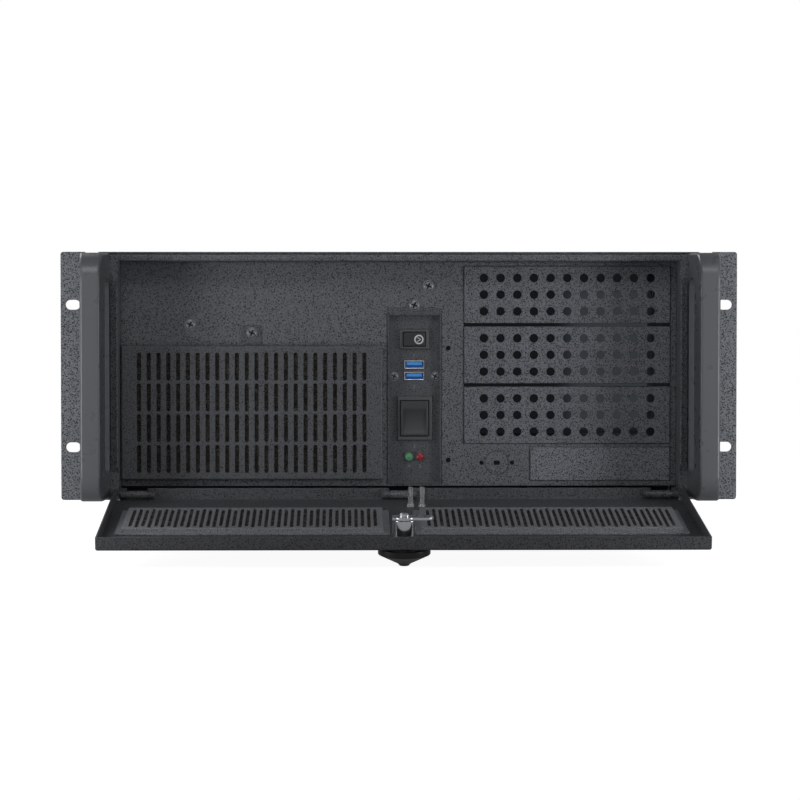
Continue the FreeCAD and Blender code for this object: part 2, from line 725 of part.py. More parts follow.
def handle(side):
    """A moulded grip: a D-shaped bar that narrows forwards, with a long finger slot."""
    middle_z = PANEL_HEIGHT / 2
    low, high = middle_z - HANDLE_HEIGHT / 2, middle_z + HANDLE_HEIGHT / 2
    front = FACE_Y - HANDLE_DEPTH
    base_half = HANDLE_BASE_WIDTH / 2
    front_half = HANDLE_FRONT_WIDTH / 2
    plan = [
        Vector(HANDLE_CENTRE_X - base_half, FACE_Y, low),
        Vector(HANDLE_CENTRE_X + base_half, FACE_Y, low),
        Vector(HANDLE_CENTRE_X + front_half, front, low),
        Vector(HANDLE_CENTRE_X - front_half, front, low),
    ]
    grip = prism(plan, Vector(0, 0, HANDLE_HEIGHT))
    x_axis = Vector(1, 0, 0)
    grip = round_edges(grip, HANDLE_CORNER, x_axis, lambda middle: middle.y < front + 0.1)
    sides = [
        edge
        for edge in grip.Edges
        if edge.CenterOfMass.y < FACE_Y - 0.5 and abs(edge.CenterOfMass.x - HANDLE_CENTRE_X) > 0.5
    ]
    grip = grip.makeFillet(HANDLE_EDGE, sides)
    finger = (front + HANDLE_BAR, FACE_Y - HANDLE_RIM)
    hole = block(
        (HANDLE_CENTRE_X - HANDLE_BASE_WIDTH, HANDLE_CENTRE_X + HANDLE_BASE_WIDTH),
        finger,
        (middle_z - FINGER_SLOT_HEIGHT / 2, middle_z + FINGER_SLOT_HEIGHT / 2),
    )
    hole = round_edges(hole, (finger[1] - finger[0]) * 0.45, x_axis, lambda middle: True)
    bores = [
        rod_y(HANDLE_SCREW_X, z, SCREW_RADIUS, (FACE_Y - 2 * SCREW_LENGTH, FACE_Y + 1))
        for z in handle_screw_places()
    ]
    grip = grip.cut([hole, *bores])
    return grip if side > 0 else mirror_x(grip)


def handle_screws():
    """Four screws through the ears into the handles."""
    screws = []
    for side in (-1, 1):
        for z in handle_screw_places():
            point = Vector(side * HANDLE_SCREW_X, 0, z)
            screws.append(case_screw(point, Vector(0, -1, 0), EAR_SHEET + SCREW_LENGTH))
    return Part.makeCompound(screws)


def ear_screws():
    """Six screws through the ear legs into the side walls."""
    screws = []
    for side in (-1, 1):
        for z in ear_screw_places():
            point = Vector(side * (BODY_HALF + SEAM + EAR_SHEET), EAR_LEG_DEPTH / 2, z)
            screws.append(case_screw(point, Vector(-side, 0, 0), EAR_SHEET + SEAM + SHEET))
    return Part.makeCompound(screws)


# The inner panel and what it carries

def inner_panel():
    """The panel at the back of the recess, with side flanges and all its openings."""
    half = RECESS_HALF - SEAM
    top = CEILING - SEAM
    plate = block((-half, half), (PANEL_Y, PANEL_BACK), (PANEL_SILL, top))
    flange_back = RECESS_WALL_DEPTH
    flanges = [
        block(sorted((side * half, side * (half - SHEET))), (PANEL_Y, flange_back), (PANEL_SILL, top))
        for side in (-1, 1)
    ]
    flanges.append(block((-half, half), (PANEL_Y, flange_back - SHEET), (PANEL_SILL, PANEL_SILL + SHEET)))
    plate = plate.fuse(flanges).removeSplitter()
    through = (PANEL_Y - SHEET, PANEL_BACK + SHEET)
    cutters = [
        block((BAY_LEFT, BAY_RIGHT), through, (BAY_LOW, BAY_LOW + BAY_OPENING)),
        block((SMALL_BAY_LEFT, BAY_RIGHT), through, (SMALL_BAY_LOW, SMALL_BAY_LOW + SMALL_BAY_HEIGHT)),
        control_outline(CONTROL_GAP, through),
    ]
    cutters += [rod_y(x, FAN_COVER_MID, FAN_BORE_RADIUS, through) for x in fan_places()]
    cutters += [rod_y(x, z, SCREW_RADIUS + SCREW_FIT, through) for x, z in PANEL_SCREWS]
    cutters.append(rod_y(FAN_COVER_X, cover_screw_height(), SCREW_RADIUS + SCREW_FIT, through))
    cutters += [rod_y(x, z, SMALL_HOLE_RADIUS, through) for x, z in SMALL_HOLES]
    cutters += knockout(through)
    return plate.cut(cutters)


def knockout(through):
    """Score ring, centre slot and two small holes of the blanked-off round opening."""
    score_depth = (PANEL_Y - SHEET, PANEL_Y + SHEET / 3)
    ring = rod_y(KNOCKOUT_X, KNOCKOUT_HEIGHT, KNOCKOUT_RADIUS, score_depth)
    ring = ring.cut(rod_y(KNOCKOUT_X, KNOCKOUT_HEIGHT, KNOCKOUT_RADIUS - KNOCKOUT_SCORE, score_depth))
    centre = block(
        (KNOCKOUT_X - KNOCKOUT_SLOT_WIDTH / 2, KNOCKOUT_X + KNOCKOUT_SLOT_WIDTH / 2),
        through,
        (KNOCKOUT_HEIGHT - KNOCKOUT_SLOT_HEIGHT / 2, KNOCKOUT_HEIGHT + KNOCKOUT_SLOT_HEIGHT / 2),
    )
    sides = [
        rod_y(x, KNOCKOUT_HEIGHT, SMALL_HOLE_RADIUS * 0.9, through)
        for x in spread(2, KNOCKOUT_HOLE_SPREAD, KNOCKOUT_X)
    ]
    return [ring, centre, *sides]


def panel_screws():
    """The three loose-looking screws of the inner panel."""
    screws = [
        pan_screw(Vector(x, PANEL_Y, z), Vector(0, 1, 0), (PANEL_SCREW_HEAD_RADIUS, SCREW_HEAD), SCREW_LENGTH)
        for x, z in PANEL_SCREWS
    ]
    return Part.makeCompound(screws)


def bay_cover(index):
    """A perforated blanking cover of one 5.25 inch bay, folded back on its four sides."""
    low = BAY_LOW + index * BAY_PITCH
    outline = (BAY_LEFT + BAY_FIT, BAY_RIGHT - BAY_FIT), (low + SEAM, low + BAY_COVER_HEIGHT - SEAM)
    cover = tray_lid(outline, BAY_FRONT, BAY_COVER_DEPTH)
    middle_x = (BAY_LEFT + BAY_RIGHT) / 2
    middle_z = low + BAY_COVER_HEIGHT / 2
    through = (BAY_FRONT - SHEET, BAY_FRONT + 2 * SHEET)
    holes = [
        faceted_rod_y(x, z, BAY_HOLE_RADIUS, through, BAY_HOLE_SIDES)
        for x in spread(BAY_HOLE_COLUMNS, BAY_HOLE_PITCH, middle_x)
        for z in spread(BAY_HOLE_ROWS, BAY_HOLE_PITCH, middle_z)
    ]
    return cover.cut(holes)


def tray_lid(outline, front, depth):
    """A shallow folded lid open at the back, with its front edges slightly rounded."""
    x, z = outline
    outer = block(x, (front, front + depth), z)
    rim = [edge for edge in outer.Edges if edge.CenterOfMass.y < front + 0.1]
    outer = outer.makeFillet(SHEET / 2, rim)
    inner_x = (x[0] + SHEET, x[1] - SHEET)
    inner_z = (z[0] + SHEET, z[1] - SHEET)
    return outer.cut(block(inner_x, (front + SHEET, front + 2 * depth), inner_z))


def small_bay_cover():
    """The plain blanking cover of the 3.5 inch bay."""
    outline = (
        (SMALL_BAY_LEFT + BAY_FIT, BAY_RIGHT - BAY_FIT),
        (SMALL_BAY_LOW + SEAM, SMALL_BAY_LOW + SMALL_BAY_HEIGHT - SEAM),
    )
    return tray_lid(outline, BAY_FRONT, BAY_COVER_DEPTH)


def drive_cage():
    """The open-ended sheet box behind the three bays, with slots for drive screws."""
    x = (BAY_LEFT - THIN_SHEET, BAY_RIGHT + THIN_SHEET)
    top = BAY_LOW + BAY_OPENING + SEAM
    cage = block(x, (CAGE_FRONT, CAGE_FRONT + CAGE_DEPTH), (CAGE_FLOOR, top + THIN_SHEET))
    hollow = block((BAY_LEFT, BAY_RIGHT), (0, CASE_DEPTH), (CAGE_FLOOR + THIN_SHEET, top))
    slots = [
        block(
            (x[0] - THIN_SHEET, x[1] + THIN_SHEET),
            (y, y + CAGE_SLOT_LENGTH),
            (height - CAGE_SLOT_HEIGHT / 2, height + CAGE_SLOT_HEIGHT / 2),
        )
        for y in spread(2, CAGE_DEPTH / 2, CAGE_FRONT + CAGE_DEPTH / 2)
        for height in [BAY_LOW + (index + 0.5) * BAY_PITCH for index in range(BAY_COUNT)]
    ]
    return cage.cut([hollow, *slots])


def small_drive_cage():
    """The 3.5 inch cage under the larger one, with legs down to the floor of the tray."""
    x = (SMALL_BAY_LEFT - THIN_SHEET, BAY_RIGHT + THIN_SHEET)
    floor = SMALL_BAY_LOW - THIN_SHEET - SEAM
    y = (CAGE_FRONT + RECESS_WALL_DEPTH - PANEL_BACK, CAGE_FRONT + SMALL_CAGE_DEPTH)
    top = CAGE_FLOOR - SEAM
    walls = block(x, y, (SHEET + SEAM, top))
    hollow = block((SMALL_BAY_LEFT, BAY_RIGHT), (0, CASE_DEPTH), (floor + THIN_SHEET, top + 1))
    under = block((SMALL_BAY_LEFT, BAY_RIGHT), (0, CASE_DEPTH), (0, floor))
    window = block(
        (x[0] - 1, x[1] + 1),
        (y[0] + CAGE_FOOT, y[1] - CAGE_FOOT),
        (0, floor - THIN_SHEET),
    )
    return walls.cut([hollow, under, window])


def filter_cover():
    """The slotted front of the fan filter: a shallow lid with a screw tab on top."""
    x = (FAN_COVER_LEFT, FAN_COVER_LEFT + FAN_COVER_WIDTH)
    z = (FAN_COVER_LOW, FAN_COVER_LOW + FAN_COVER_HEIGHT)
    lid = block(x, (FAN_COVER_FRONT, PANEL_Y - SEAM), z)
    rim = [edge for edge in lid.Edges if edge.CenterOfMass.y < FAN_COVER_FRONT + 0.1]
    lid = lid.makeFillet(FAN_COVER_BEND, rim)
    hollow = block(
        (x[0] + SHEET, x[1] - SHEET),
        (FAN_COVER_FRONT + SHEET, CASE_DEPTH),
        (z[0] + SHEET, z[1] - SHEET),
    )
    through = (FAN_COVER_FRONT - SHEET, FAN_COVER_FRONT + 2 * SHEET)
    slots = [
        block(
            (slot_x - FAN_SLOT_WIDTH / 2, slot_x + FAN_SLOT_WIDTH / 2),
            through,
            (slot_z - FAN_SLOT_HEIGHT / 2, slot_z + FAN_SLOT_HEIGHT / 2),
        )
        for slot_x in spread(FAN_SLOT_COLUMNS, FAN_SLOT_PITCH_X, FAN_COVER_X)
        for slot_z in spread(FAN_SLOT_ROWS, FAN_SLOT_PITCH_Z, FAN_COVER_MID)
    ]
    tab = block(
        (FAN_COVER_X - COVER_TAB_WIDTH / 2, FAN_COVER_X + COVER_TAB_WIDTH / 2),
        (PANEL_Y - SEAM - SHEET, PANEL_Y - SEAM),
        (z[1] - SHEET, z[1] + COVER_TAB_HEIGHT),
    )
    tab = round_edges(tab, SHEET, Vector(0, 1, 0), lambda middle: middle.z > z[1] + COVER_TAB_HEIGHT - 0.1)
    hole = rod_y(FAN_COVER_X, cover_screw_height(), SCREW_RADIUS + SCREW_FIT, (0, PANEL_BACK))
    return lid.cut([hollow, *slots]).fuse(tab).removeSplitter().cut(hole)


def cover_screw_height():
    """Height of the screw that holds the fan filter cover."""
    return FAN_COVER_LOW + FAN_COVER_HEIGHT + COVER_SCREW_RISE


def filter_foam():
    """The foam sheet that fills the fan filter cover."""
    gap = SHEET + SEAM
    return block(
        (FAN_COVER_LEFT + gap, FAN_COVER_LEFT + FAN_COVER_WIDTH - gap),
        (FAN_COVER_FRONT + gap, PANEL_Y - SEAM),
        (FAN_COVER_LOW + gap, FAN_COVER_LOW + FAN_COVER_HEIGHT - gap),
    )


def filter_cover_screw():
    """The screw of the filter cover's tab."""
    point = Vector(FAN_COVER_X, PANEL_Y - SEAM - SHEET, cover_screw_height())
    return pan_screw(point, Vector(0, 1, 0), (PANEL_SCREW_HEAD_RADIUS, SCREW_HEAD), SCREW_LENGTH)


def fan_places():
    """Middles of the two front fans."""
    return spread(2, FAN_PITCH, FAN_COVER_X)


def fan_frame(x):
    """A square fan body with its round duct, corner holes and the spider behind."""
    half = FAN_SIZE / 2
    z = FAN_COVER_MID
    back = FAN_FRONT + FAN_DEPTH
    body = block((x - half, x + half), (FAN_FRONT, back), (z - half, z + half))
    body = round_edges(body, FAN_STRUT, Vector(0, 1, 0), lambda middle: True)
    duct = rod_y(x, z, FAN_BORE_RADIUS, (FAN_FRONT - 1, back + 1))
    corners = [
        rod_y(hole_x, hole_z, FAN_SCREW_RADIUS, (FAN_FRONT - 1, back + 1))
        for hole_x in spread(2, FAN_SCREW_SPACING, x)
        for hole_z in spread(2, FAN_SCREW_SPACING, z)
    ]
    body = body.cut([duct, *corners])
    base = (back - FAN_BASE, back)
    motor = rod_y(x, z, FAN_HUB_RADIUS, base)
    reach = FAN_BORE_RADIUS + 1
    arm = block((x - reach, x + reach), base, (z - FAN_STRUT / 2, z + FAN_STRUT / 2))
    cross = arm.copy()
    cross.rotate(Vector(x, 0, z), Vector(0, 1, 0), 90)
    seat = rod_y(x, z, FAN_SHAFT_RADIUS + PIN_FIT, (base[0] - 1, back + 1))
    return body.fuse([motor, arm, cross]).removeSplitter().cut(seat)


def fan_rotor(x):
    """A hub with pitched blades and a shaft that runs in the fan body's spider."""
    z = FAN_COVER_MID
    hub_back = FAN_FRONT + FAN_DEPTH - FAN_BASE - FAN_RUNNING_GAP
    hub_front = FAN_FRONT + FAN_BASE
    hub = rod_y(x, z, FAN_HUB_RADIUS, (hub_front, hub_back))
    shaft = rod_y(x, z, FAN_SHAFT_RADIUS, (hub_back - 1, hub_back + FAN_BASE))
    middle_y = (hub_front + hub_back) / 2
    blades = []
    for index in range(FAN_BLADES):
        blade = block(
            (x - FAN_BLADE_WIDTH / 2, x + FAN_BLADE_WIDTH / 2),
            (middle_y - FAN_BLADE_THICKNESS / 2, middle_y + FAN_BLADE_THICKNESS / 2),
            (z + FAN_HUB_RADIUS / 2, z + FAN_BLADE_TIP * 1.1),
        )
        blade.rotate(Vector(x, middle_y, z), Vector(0, 0, 1), FAN_BLADE_PITCH)
        blade.rotate(Vector(x, 0, z), Vector(0, 1, 0), 360 * index / FAN_BLADES)
        blades.append(blade)
    sweep = rod_y(x, z, FAN_BLADE_TIP, (hub_front, hub_back))
    wheel = hub.fuse([blade.common(sweep) for blade in blades])
    return wheel.fuse(shaft).removeSplitter()


# The control panel

def control_outline(grow, y):
    """The control panel's outline as a box, grown by a gap all round."""
    half = CONTROL_WIDTH / 2 + grow
    return block(
        (CONTROL_X - half, CONTROL_X + half),
        y,
        (CONTROL_LOW - grow, CONTROL_LOW + CONTROL_HEIGHT + grow),
    )


def control_panel():
    """A folded tray that holds the switches, ports and lamps a little behind the panel."""
    front = PANEL_Y - CONTROL_PROUD
    tray = control_outline(0, (front, CONTROL_BACK))
    tray = tray.cut(control_outline(-SHEET, (front - 1, CONTROL_FLOOR)))
    tray = tray.fuse(control_tab()).removeSplitter()
    through = (CONTROL_FLOOR - 1, CONTROL_BACK + 1)
    cutters = [
        centred_block(RESET_X, RESET_HEIGHT, *with_fit(ROCKER_WIDTH, ROCKER_TALL), through),
        centred_block(POWER_X, power_middle(), *with_fit(PADDLE_WIDTH, PADDLE_TALL), through),
    ]
    for z in (USB_LOW, USB_HIGH):
        cutters.append(centred_block(USB_X, z, USB_WIDTH + SEAM, USB_TALL + SEAM, through))
    cutters += [rod_y(x, USB_SCREW_HEIGHT, SCREW_RADIUS, through) for x in usb_screw_places()]
    cutters += [rod_y(x, LAMP_HEIGHT, LAMP_RADIUS + SCREW_FIT, through) for x in (LAMP_GREEN_X, LAMP_RED_X)]
    return tray.cut(cutters)


def control_tab():
    """The tray's low screw tab, with two corners cut and a bight round the screw above it."""
    top = CONTROL_LOW + CONTROL_HEIGHT
    half = CONTROL_WIDTH / 2 - CONTROL_TAB_INSET
    front = PANEL_Y - SEAM - SHEET
    high = top + CONTROL_TAB_HEIGHT
    outline = [
        Vector(CONTROL_X - half, front, top - SHEET),
        Vector(CONTROL_X + half, front, top - SHEET),
        Vector(CONTROL_X + half, front, high - CONTROL_TAB_CHAMFER),
        Vector(CONTROL_X + half - CONTROL_TAB_CHAMFER, front, high),
        Vector(CONTROL_X - half + CONTROL_TAB_CHAMFER, front, high),
        Vector(CONTROL_X - half, front, high - CONTROL_TAB_CHAMFER),
    ]
    tab = prism(outline, Vector(0, SHEET, 0))
    return tab.cut(rod_y(*CONTROL_SCREW, PANEL_SCREW_HEAD_RADIUS + SCREW_FIT, (front - 1, PANEL_Y)))


def with_fit(width, tall):
    """A window's size round a switch of this size."""
    return width + 2 * ROCKER_FIT, tall + 2 * ROCKER_FIT


def centred_block(x, z, width, tall, y):
    """A box along Y with its middle at x, z."""
    return block((x - width / 2, x + width / 2), y, (z - tall / 2, z + tall / 2))


def power_middle():
    """Height of the middle of the power switch."""
    return POWER_LOW + POWER_TALL / 2


def usb_screw_places():
    """The screws on both sides of the ports."""
    return spread(2, USB_SCREW_SPREAD, USB_X + USB_SCREW_OFFSET)


def bezel(x, z, size, window):
    """A rounded switch frame standing on the control panel, around a window."""
    front = CONTROL_FLOOR - BEZEL_RISE
    frame = centred_block(x, z, size[0], size[1], (front, CONTROL_FLOOR))
    rim = [edge for edge in frame.Edges if edge.CenterOfMass.y < front + 0.1]
    frame = frame.makeFillet(BEZEL_RISE * 0.4, rim)
    return frame.cut(centred_block(x, z, *with_fit(*window), (front - 1, CONTROL_BACK)))


def reset_rocker():
    """The reset rocker: its two faces meet in a shallow ridge and its left end stands out."""
    front = CONTROL_FLOOR - BEZEL_RISE
    back = CONTROL_BACK + SWITCH_DEPTH
    half = ROCKER_WIDTH / 2
    low = RESET_HEIGHT - ROCKER_TALL / 2
    section = [
        Vector(RESET_X - half, front - ROCKER_RISE, low),
        Vector(RESET_X, front - ROCKER_MIDDLE_RISE, low),
        Vector(RESET_X + half, front + ROCKER_SINK, low),
        Vector(RESET_X + half, back, low),
        Vector(RESET_X - half, back, low),
    ]
    return prism(section, Vector(0, 0, ROCKER_TALL))


def power_paddle():
    """The power switch's paddle: a tall key with a hollow face and a finger ledge on top."""
    z = power_middle()
    front = CONTROL_FLOOR - BEZEL_RISE - PADDLE_RISE
    key = centred_block(POWER_X, z, PADDLE_WIDTH, PADDLE_TALL, (front, CONTROL_BACK + SWITCH_DEPTH))
    rim = [edge for edge in key.Edges if edge.CenterOfMass.y < front + 0.1]
    key = key.makeFillet(PADDLE_RISE * 0.5, rim)
    top = z + PADDLE_TALL / 2
    face_low = z - PADDLE_TALL / 2 + PADDLE_MARGIN
    face_top = top - PADDLE_HOLLOW_DROP
    left = POWER_X - PADDLE_WIDTH / 2 + PADDLE_MARGIN
    ends = (Vector(left, front, face_low), Vector(left, front, face_top))
    deepest = Vector(left, front + PADDLE_RISE, (face_low + face_top) / 2)
    arc = Part.Arc(ends[0], deepest, ends[1]).toShape()
    outline = Part.Wire([arc, Part.makeLine(ends[1], ends[0])])
    return key.cut(Part.Face(outline).extrude(Vector(PADDLE_WIDTH - 2 * PADDLE_MARGIN, 0, 0)))


def usb_port(z):
    """One port's folded steel shell, open at the front."""
    front = CONTROL_FLOOR - USB_PROUD
    shell = centred_block(USB_X, z, USB_WIDTH, USB_TALL, (front, front + USB_DEPTH))
    inside = centred_block(
        USB_X,
        z,
        USB_WIDTH - 2 * USB_WALL,
        USB_TALL - 2 * USB_WALL,
        (front - 1, front + USB_DEPTH - USB_WALL),
    )
    return shell.cut(inside)


def usb_tongues():
    """The contact tongues inside both ports."""
    front = CONTROL_FLOOR - USB_PROUD
    length = (front + USB_TONGUE_SINK, front + USB_DEPTH - USB_WALL)
    tongues = [
        centred_block(USB_X, z + USB_TONGUE / 3, USB_TONGUE_WIDTH, USB_TONGUE, length)
        for z in (USB_LOW, USB_HIGH)
    ]
    return Part.makeCompound(tongues)


def usb_screws():
    """The two screws beside the ports."""
    screws = [
        pan_screw(Vector(x, CONTROL_FLOOR, USB_SCREW_HEIGHT), Vector(0, 1, 0), USB_SCREW_HEAD, SCREW_LENGTH)
        for x in usb_screw_places()
    ]
    return Part.makeCompound(screws)


def lamp(x):
    """A round-nosed lamp through the control panel."""
    length = LAMP_RISE + SHEET + 2 * SWITCH_DEPTH
    stations = (
        (0, LAMP_RADIUS * 0.45),
        (LAMP_RADIUS * 0.2, LAMP_RADIUS * 0.8),
        (LAMP_RADIUS * 0.6, LAMP_RADIUS),
        (length, LAMP_RADIUS),
    )
    return turned(Vector(x, CONTROL_FLOOR - LAMP_RISE, LAMP_HEIGHT), Vector(0, 1, 0), stations, HEAD_SIDES)


def lamp_holders():
    """The collars around both lamps."""
    collars = []
    for x in (LAMP_GREEN_X, LAMP_RED_X):
        collar = rod_y(x, LAMP_HEIGHT, LAMP_HOLDER_RADIUS, (CONTROL_FLOOR - LAMP_RISE / 2, CONTROL_FLOOR))
        collars.append(collar.cut(rod_y(x, LAMP_HEIGHT, LAMP_RADIUS + SCREW_FIT, (0, CASE_DEPTH))))
    return Part.makeCompound(collars)


# The door, drawn shut

def hinge_places():
    """Middles of the three hinges."""
    return spread(3, HINGE_SPREAD)


def door():
    """The door: a shallow folded tray with vents, hinge lugs and holes for lock and light pipes."""
    outer = block((-DOOR_HALF, DOOR_HALF), (SKIN_OUT, DOOR_BACK), (DOOR_LOW, DOOR_TOP))
    rim = [edge for edge in outer.Edges if edge.CenterOfMass.y < SKIN_OUT + 0.1]
    outer = outer.makeFillet(BEND, rim)
    hollow = block(
        (SHEET - DOOR_HALF, DOOR_HALF - SHEET),
        (SKIN_IN, DOOR_BACK + BEND),
        (DOOR_LOW + SHEET, DOOR_TOP - SHEET),
    )
    edge_x = RECESS_HALF - DOOR_RIM_GAP
    reliefs = [
        block(sorted((side * edge_x, side * PANEL_WIDTH)), (2 * SKIN_OUT, 0), (0, HINGE_HEIGHT))
        for side in (-1, 1)
    ]
    notch_half = KNUCKLE_WIDTH / 2 + KNUCKLE_GAP
    notches = [
        block((x - notch_half, x + notch_half), (SKIN_IN, 0), (0, 2 * HINGE_HEIGHT))
        for x in hinge_places()
    ]
    panel = outer.cut([hollow, *reliefs, *notches])
    lugs = []
    for x in hinge_places():
        for side in (-1, 1):
            ends = sorted((x + side * notch_half, x + side * (notch_half + LUG_WIDTH)))
            lugs.append(rod_x(HINGE_Y, HINGE_HEIGHT, KNUCKLE_RADIUS, ends))
    panel = panel.fuse(lugs).removeSplitter()
    return panel.cut(door_holes())


def door_holes():
    """Cutters of the door skin: vents, lock, light pipes and pin bores."""
    skin = (SKIN_OUT - 1, SKIN_IN + 1)
    holes = [
        rod_x(HINGE_Y, HINGE_HEIGHT, PIN_RADIUS, (x - KNUCKLE_WIDTH, x + KNUCKLE_WIDTH))
        for x in hinge_places()
    ]
    holes.append(rod_y(LOCK_X, LOCK_HEIGHT, BARREL_RADIUS, skin))
    holes += [rod_y(x, LAMP_HEIGHT, PIPE_RADIUS + PIPE_FIT, skin) for x in (LAMP_GREEN_X, LAMP_RED_X)]
    reach = FILTER_OUTER_X - FILTER_INNER_X - 2 * FILTER_LIP - 2 * THIN_SHEET
    columns = int(reach / DOOR_VENT_PITCH)
    middle_x = (FILTER_OUTER_X + FILTER_INNER_X) / 2
    low = FILTER_LOW + DOOR_VENT_MARGIN
    high = FILTER_LOW + FILTER_HEIGHT - DOOR_VENT_MARGIN
    for side in (-1, 1):
        for x in spread(columns, DOOR_VENT_PITCH, side * middle_x):
            holes.append(block((x - DOOR_VENT_WIDTH / 2, x + DOOR_VENT_WIDTH / 2), skin, (low, high)))
    return holes


def hinge_bracket(x):
    """One fixed hinge leaf: a plate on the tray floor with a knuckle at its front."""
    half = KNUCKLE_WIDTH / 2
    floor = SHEET + SEAM
    knuckle = rod_x(HINGE_Y, HINGE_HEIGHT, KNUCKLE_RADIUS, (x - half, x + half))
    leaf = block(
        (x - half, x + half),
        (HINGE_Y, HINGE_PLATE_REACH),
        (floor, floor + HINGE_PLATE),
    )
    rivets = [
        rod_z(x, y, RIVET_RADIUS, (floor, floor + HINGE_PLATE + RIVET_HEIGHT))
        for y in spread(2, HINGE_PLATE_REACH / 2, HINGE_PLATE_REACH / 2)
    ]
    bore = rod_x(HINGE_Y, HINGE_HEIGHT, PIN_RADIUS + PIN_FIT, (x - half - 1, x + half + 1))
    return knuckle.fuse([leaf, *rivets]).removeSplitter().cut(bore)


def hinge_pins():
    """The three hinge pins, fast in the door's lugs."""
    half = KNUCKLE_WIDTH / 2 + KNUCKLE_GAP + LUG_WIDTH
    pins = [rod_x(HINGE_Y, HINGE_HEIGHT, PIN_RADIUS, (x - half, x + half)) for x in hinge_places()]
    return Part.makeCompound(pins)


def door_filter_frame(side):
    """A pressed filter holder inside the door: flat lip, raised field and a comb of slots."""
    seat = SKIN_IN + SEAM
    x = (FILTER_INNER_X, FILTER_OUTER_X)
    z = (FILTER_LOW, FILTER_LOW + FILTER_HEIGHT)
    field_x = (x[0] + FILTER_LIP, x[1] - FILTER_LIP)
    field_z = (z[0] + FILTER_LIP, z[1] - FILTER_LIP)
    lip = block(x, (seat, seat + THIN_SHEET), z)
    field = block(field_x, (seat, seat + FILTER_RISE), field_z)
    rim = [edge for edge in field.Edges if edge.CenterOfMass.y > seat + FILTER_RISE - 0.1]
    field = field.makeFillet(THIN_SHEET * 0.8, rim)
    hollow = block(
        (field_x[0] + THIN_SHEET, field_x[1] - THIN_SHEET),
        (seat - 1, seat + FILTER_RISE - THIN_SHEET),
        (field_z[0] + THIN_SHEET, field_z[1] - THIN_SHEET),
    )
    frame = lip.fuse(field).removeSplitter()
    through = (seat + FILTER_RISE - 2 * THIN_SHEET, seat + FILTER_RISE + THIN_SHEET)
    columns = int((field_x[1] - field_x[0] - 2 * THIN_SHEET) / BAR_PITCH)
    slots = []
    for index, slot_x in enumerate(spread(columns, BAR_PITCH, (x[0] + x[1]) / 2)):
        inset = BAR_MARGIN + (-BAR_STAGGER if index % 2 else BAR_STAGGER) / 2
        slots.append(comb_slot(slot_x, (field_z[0] + inset, field_z[1] - inset), through))
    frame = frame.cut([hollow, *slots])
    return frame if side > 0 else mirror_x(frame)


def comb_slot(x, z, y):
    """A narrow slot along Z with tapered ends."""
    half = BAR_GAP / 2
    points = [
        Vector(x - half, y[0], z[0] + half),
        Vector(x - half / 2, y[0], z[0]),
        Vector(x + half / 2, y[0], z[0]),
        Vector(x + half, y[0], z[0] + half),
        Vector(x + half, y[0], z[1] - half),
        Vector(x + half / 2, y[0], z[1]),
        Vector(x - half / 2, y[0], z[1]),
        Vector(x - half, y[0], z[1] - half),
    ]
    return prism(points, Vector(0, y[1] - y[0], 0))


def door_foam(side):
    """The foam sheet under one filter holder."""
    inset = FILTER_LIP + THIN_SHEET + SEAM
    seat = SKIN_IN + SEAM
    foam = block(
        (FILTER_INNER_X + inset, FILTER_OUTER_X - inset),
        (seat, seat + FILTER_RISE - THIN_SHEET - SEAM),
        (FILTER_LOW + inset, FILTER_LOW + FILTER_HEIGHT - inset),
    )
    return foam if side > 0 else mirror_x(foam)


def light_pipes():
    """Two clear rods through the door that carry the lamps' light when it is shut."""
    pipes = []
    for x in (LAMP_GREEN_X, LAMP_RED_X):
        rod = rod_y(x, LAMP_HEIGHT, PIPE_RADIUS, (SKIN_OUT - PIPE_HEAD, SKIN_IN + SEAM + PIPE_LENGTH))
        collar = rod_y(x, LAMP_HEIGHT, PIPE_COLLAR_RADIUS, (SKIN_IN + SEAM, SKIN_IN + SEAM + PIPE_COLLAR))
        pipes.append(rod.fuse(collar).removeSplitter())
    return Part.makeCompound(pipes)


# The door lock

def barrel_end():
    """Where the fixed barrel ends inside the door."""
    return SKIN_IN + BARREL_LENGTH


def lock_barrel():
    """The fixed sleeve of the lock with its flange outside the door."""
    sleeve = rod_y(LOCK_X, LOCK_HEIGHT, BARREL_RADIUS, (SKIN_OUT - BARREL_FLANGE, barrel_end()))
    flange = rod_y(LOCK_X, LOCK_HEIGHT, BARREL_FLANGE_RADIUS, (SKIN_OUT - BARREL_FLANGE, SKIN_OUT))
    through = (SKIN_OUT - 2 * BARREL_FLANGE, barrel_end() + 1)
    bore = rod_y(LOCK_X, LOCK_HEIGHT, CORE_RADIUS + CORE_FIT, through)
    return sleeve.fuse(flange).removeSplitter().cut(bore)


def lock_nut():
    """The hexagon nut that clamps the barrel from inside the door."""
    nut = faceted_rod_y(
        LOCK_X,
        LOCK_HEIGHT,
        LOCK_NUT_RADIUS,
        (SKIN_IN + SEAM, SKIN_IN + SEAM + LOCK_NUT_THICKNESS),
        6,
    )
    return nut.cut(rod_y(LOCK_X, LOCK_HEIGHT, BARREL_RADIUS, (SKIN_OUT, barrel_end())))


def lock_core():
    """The turning core inside the barrel."""
    front = SKIN_OUT - BARREL_FLANGE - KNOB_GAP
    return rod_y(LOCK_X, LOCK_HEIGHT, CORE_RADIUS, (front, barrel_end() + CAM_GAP))


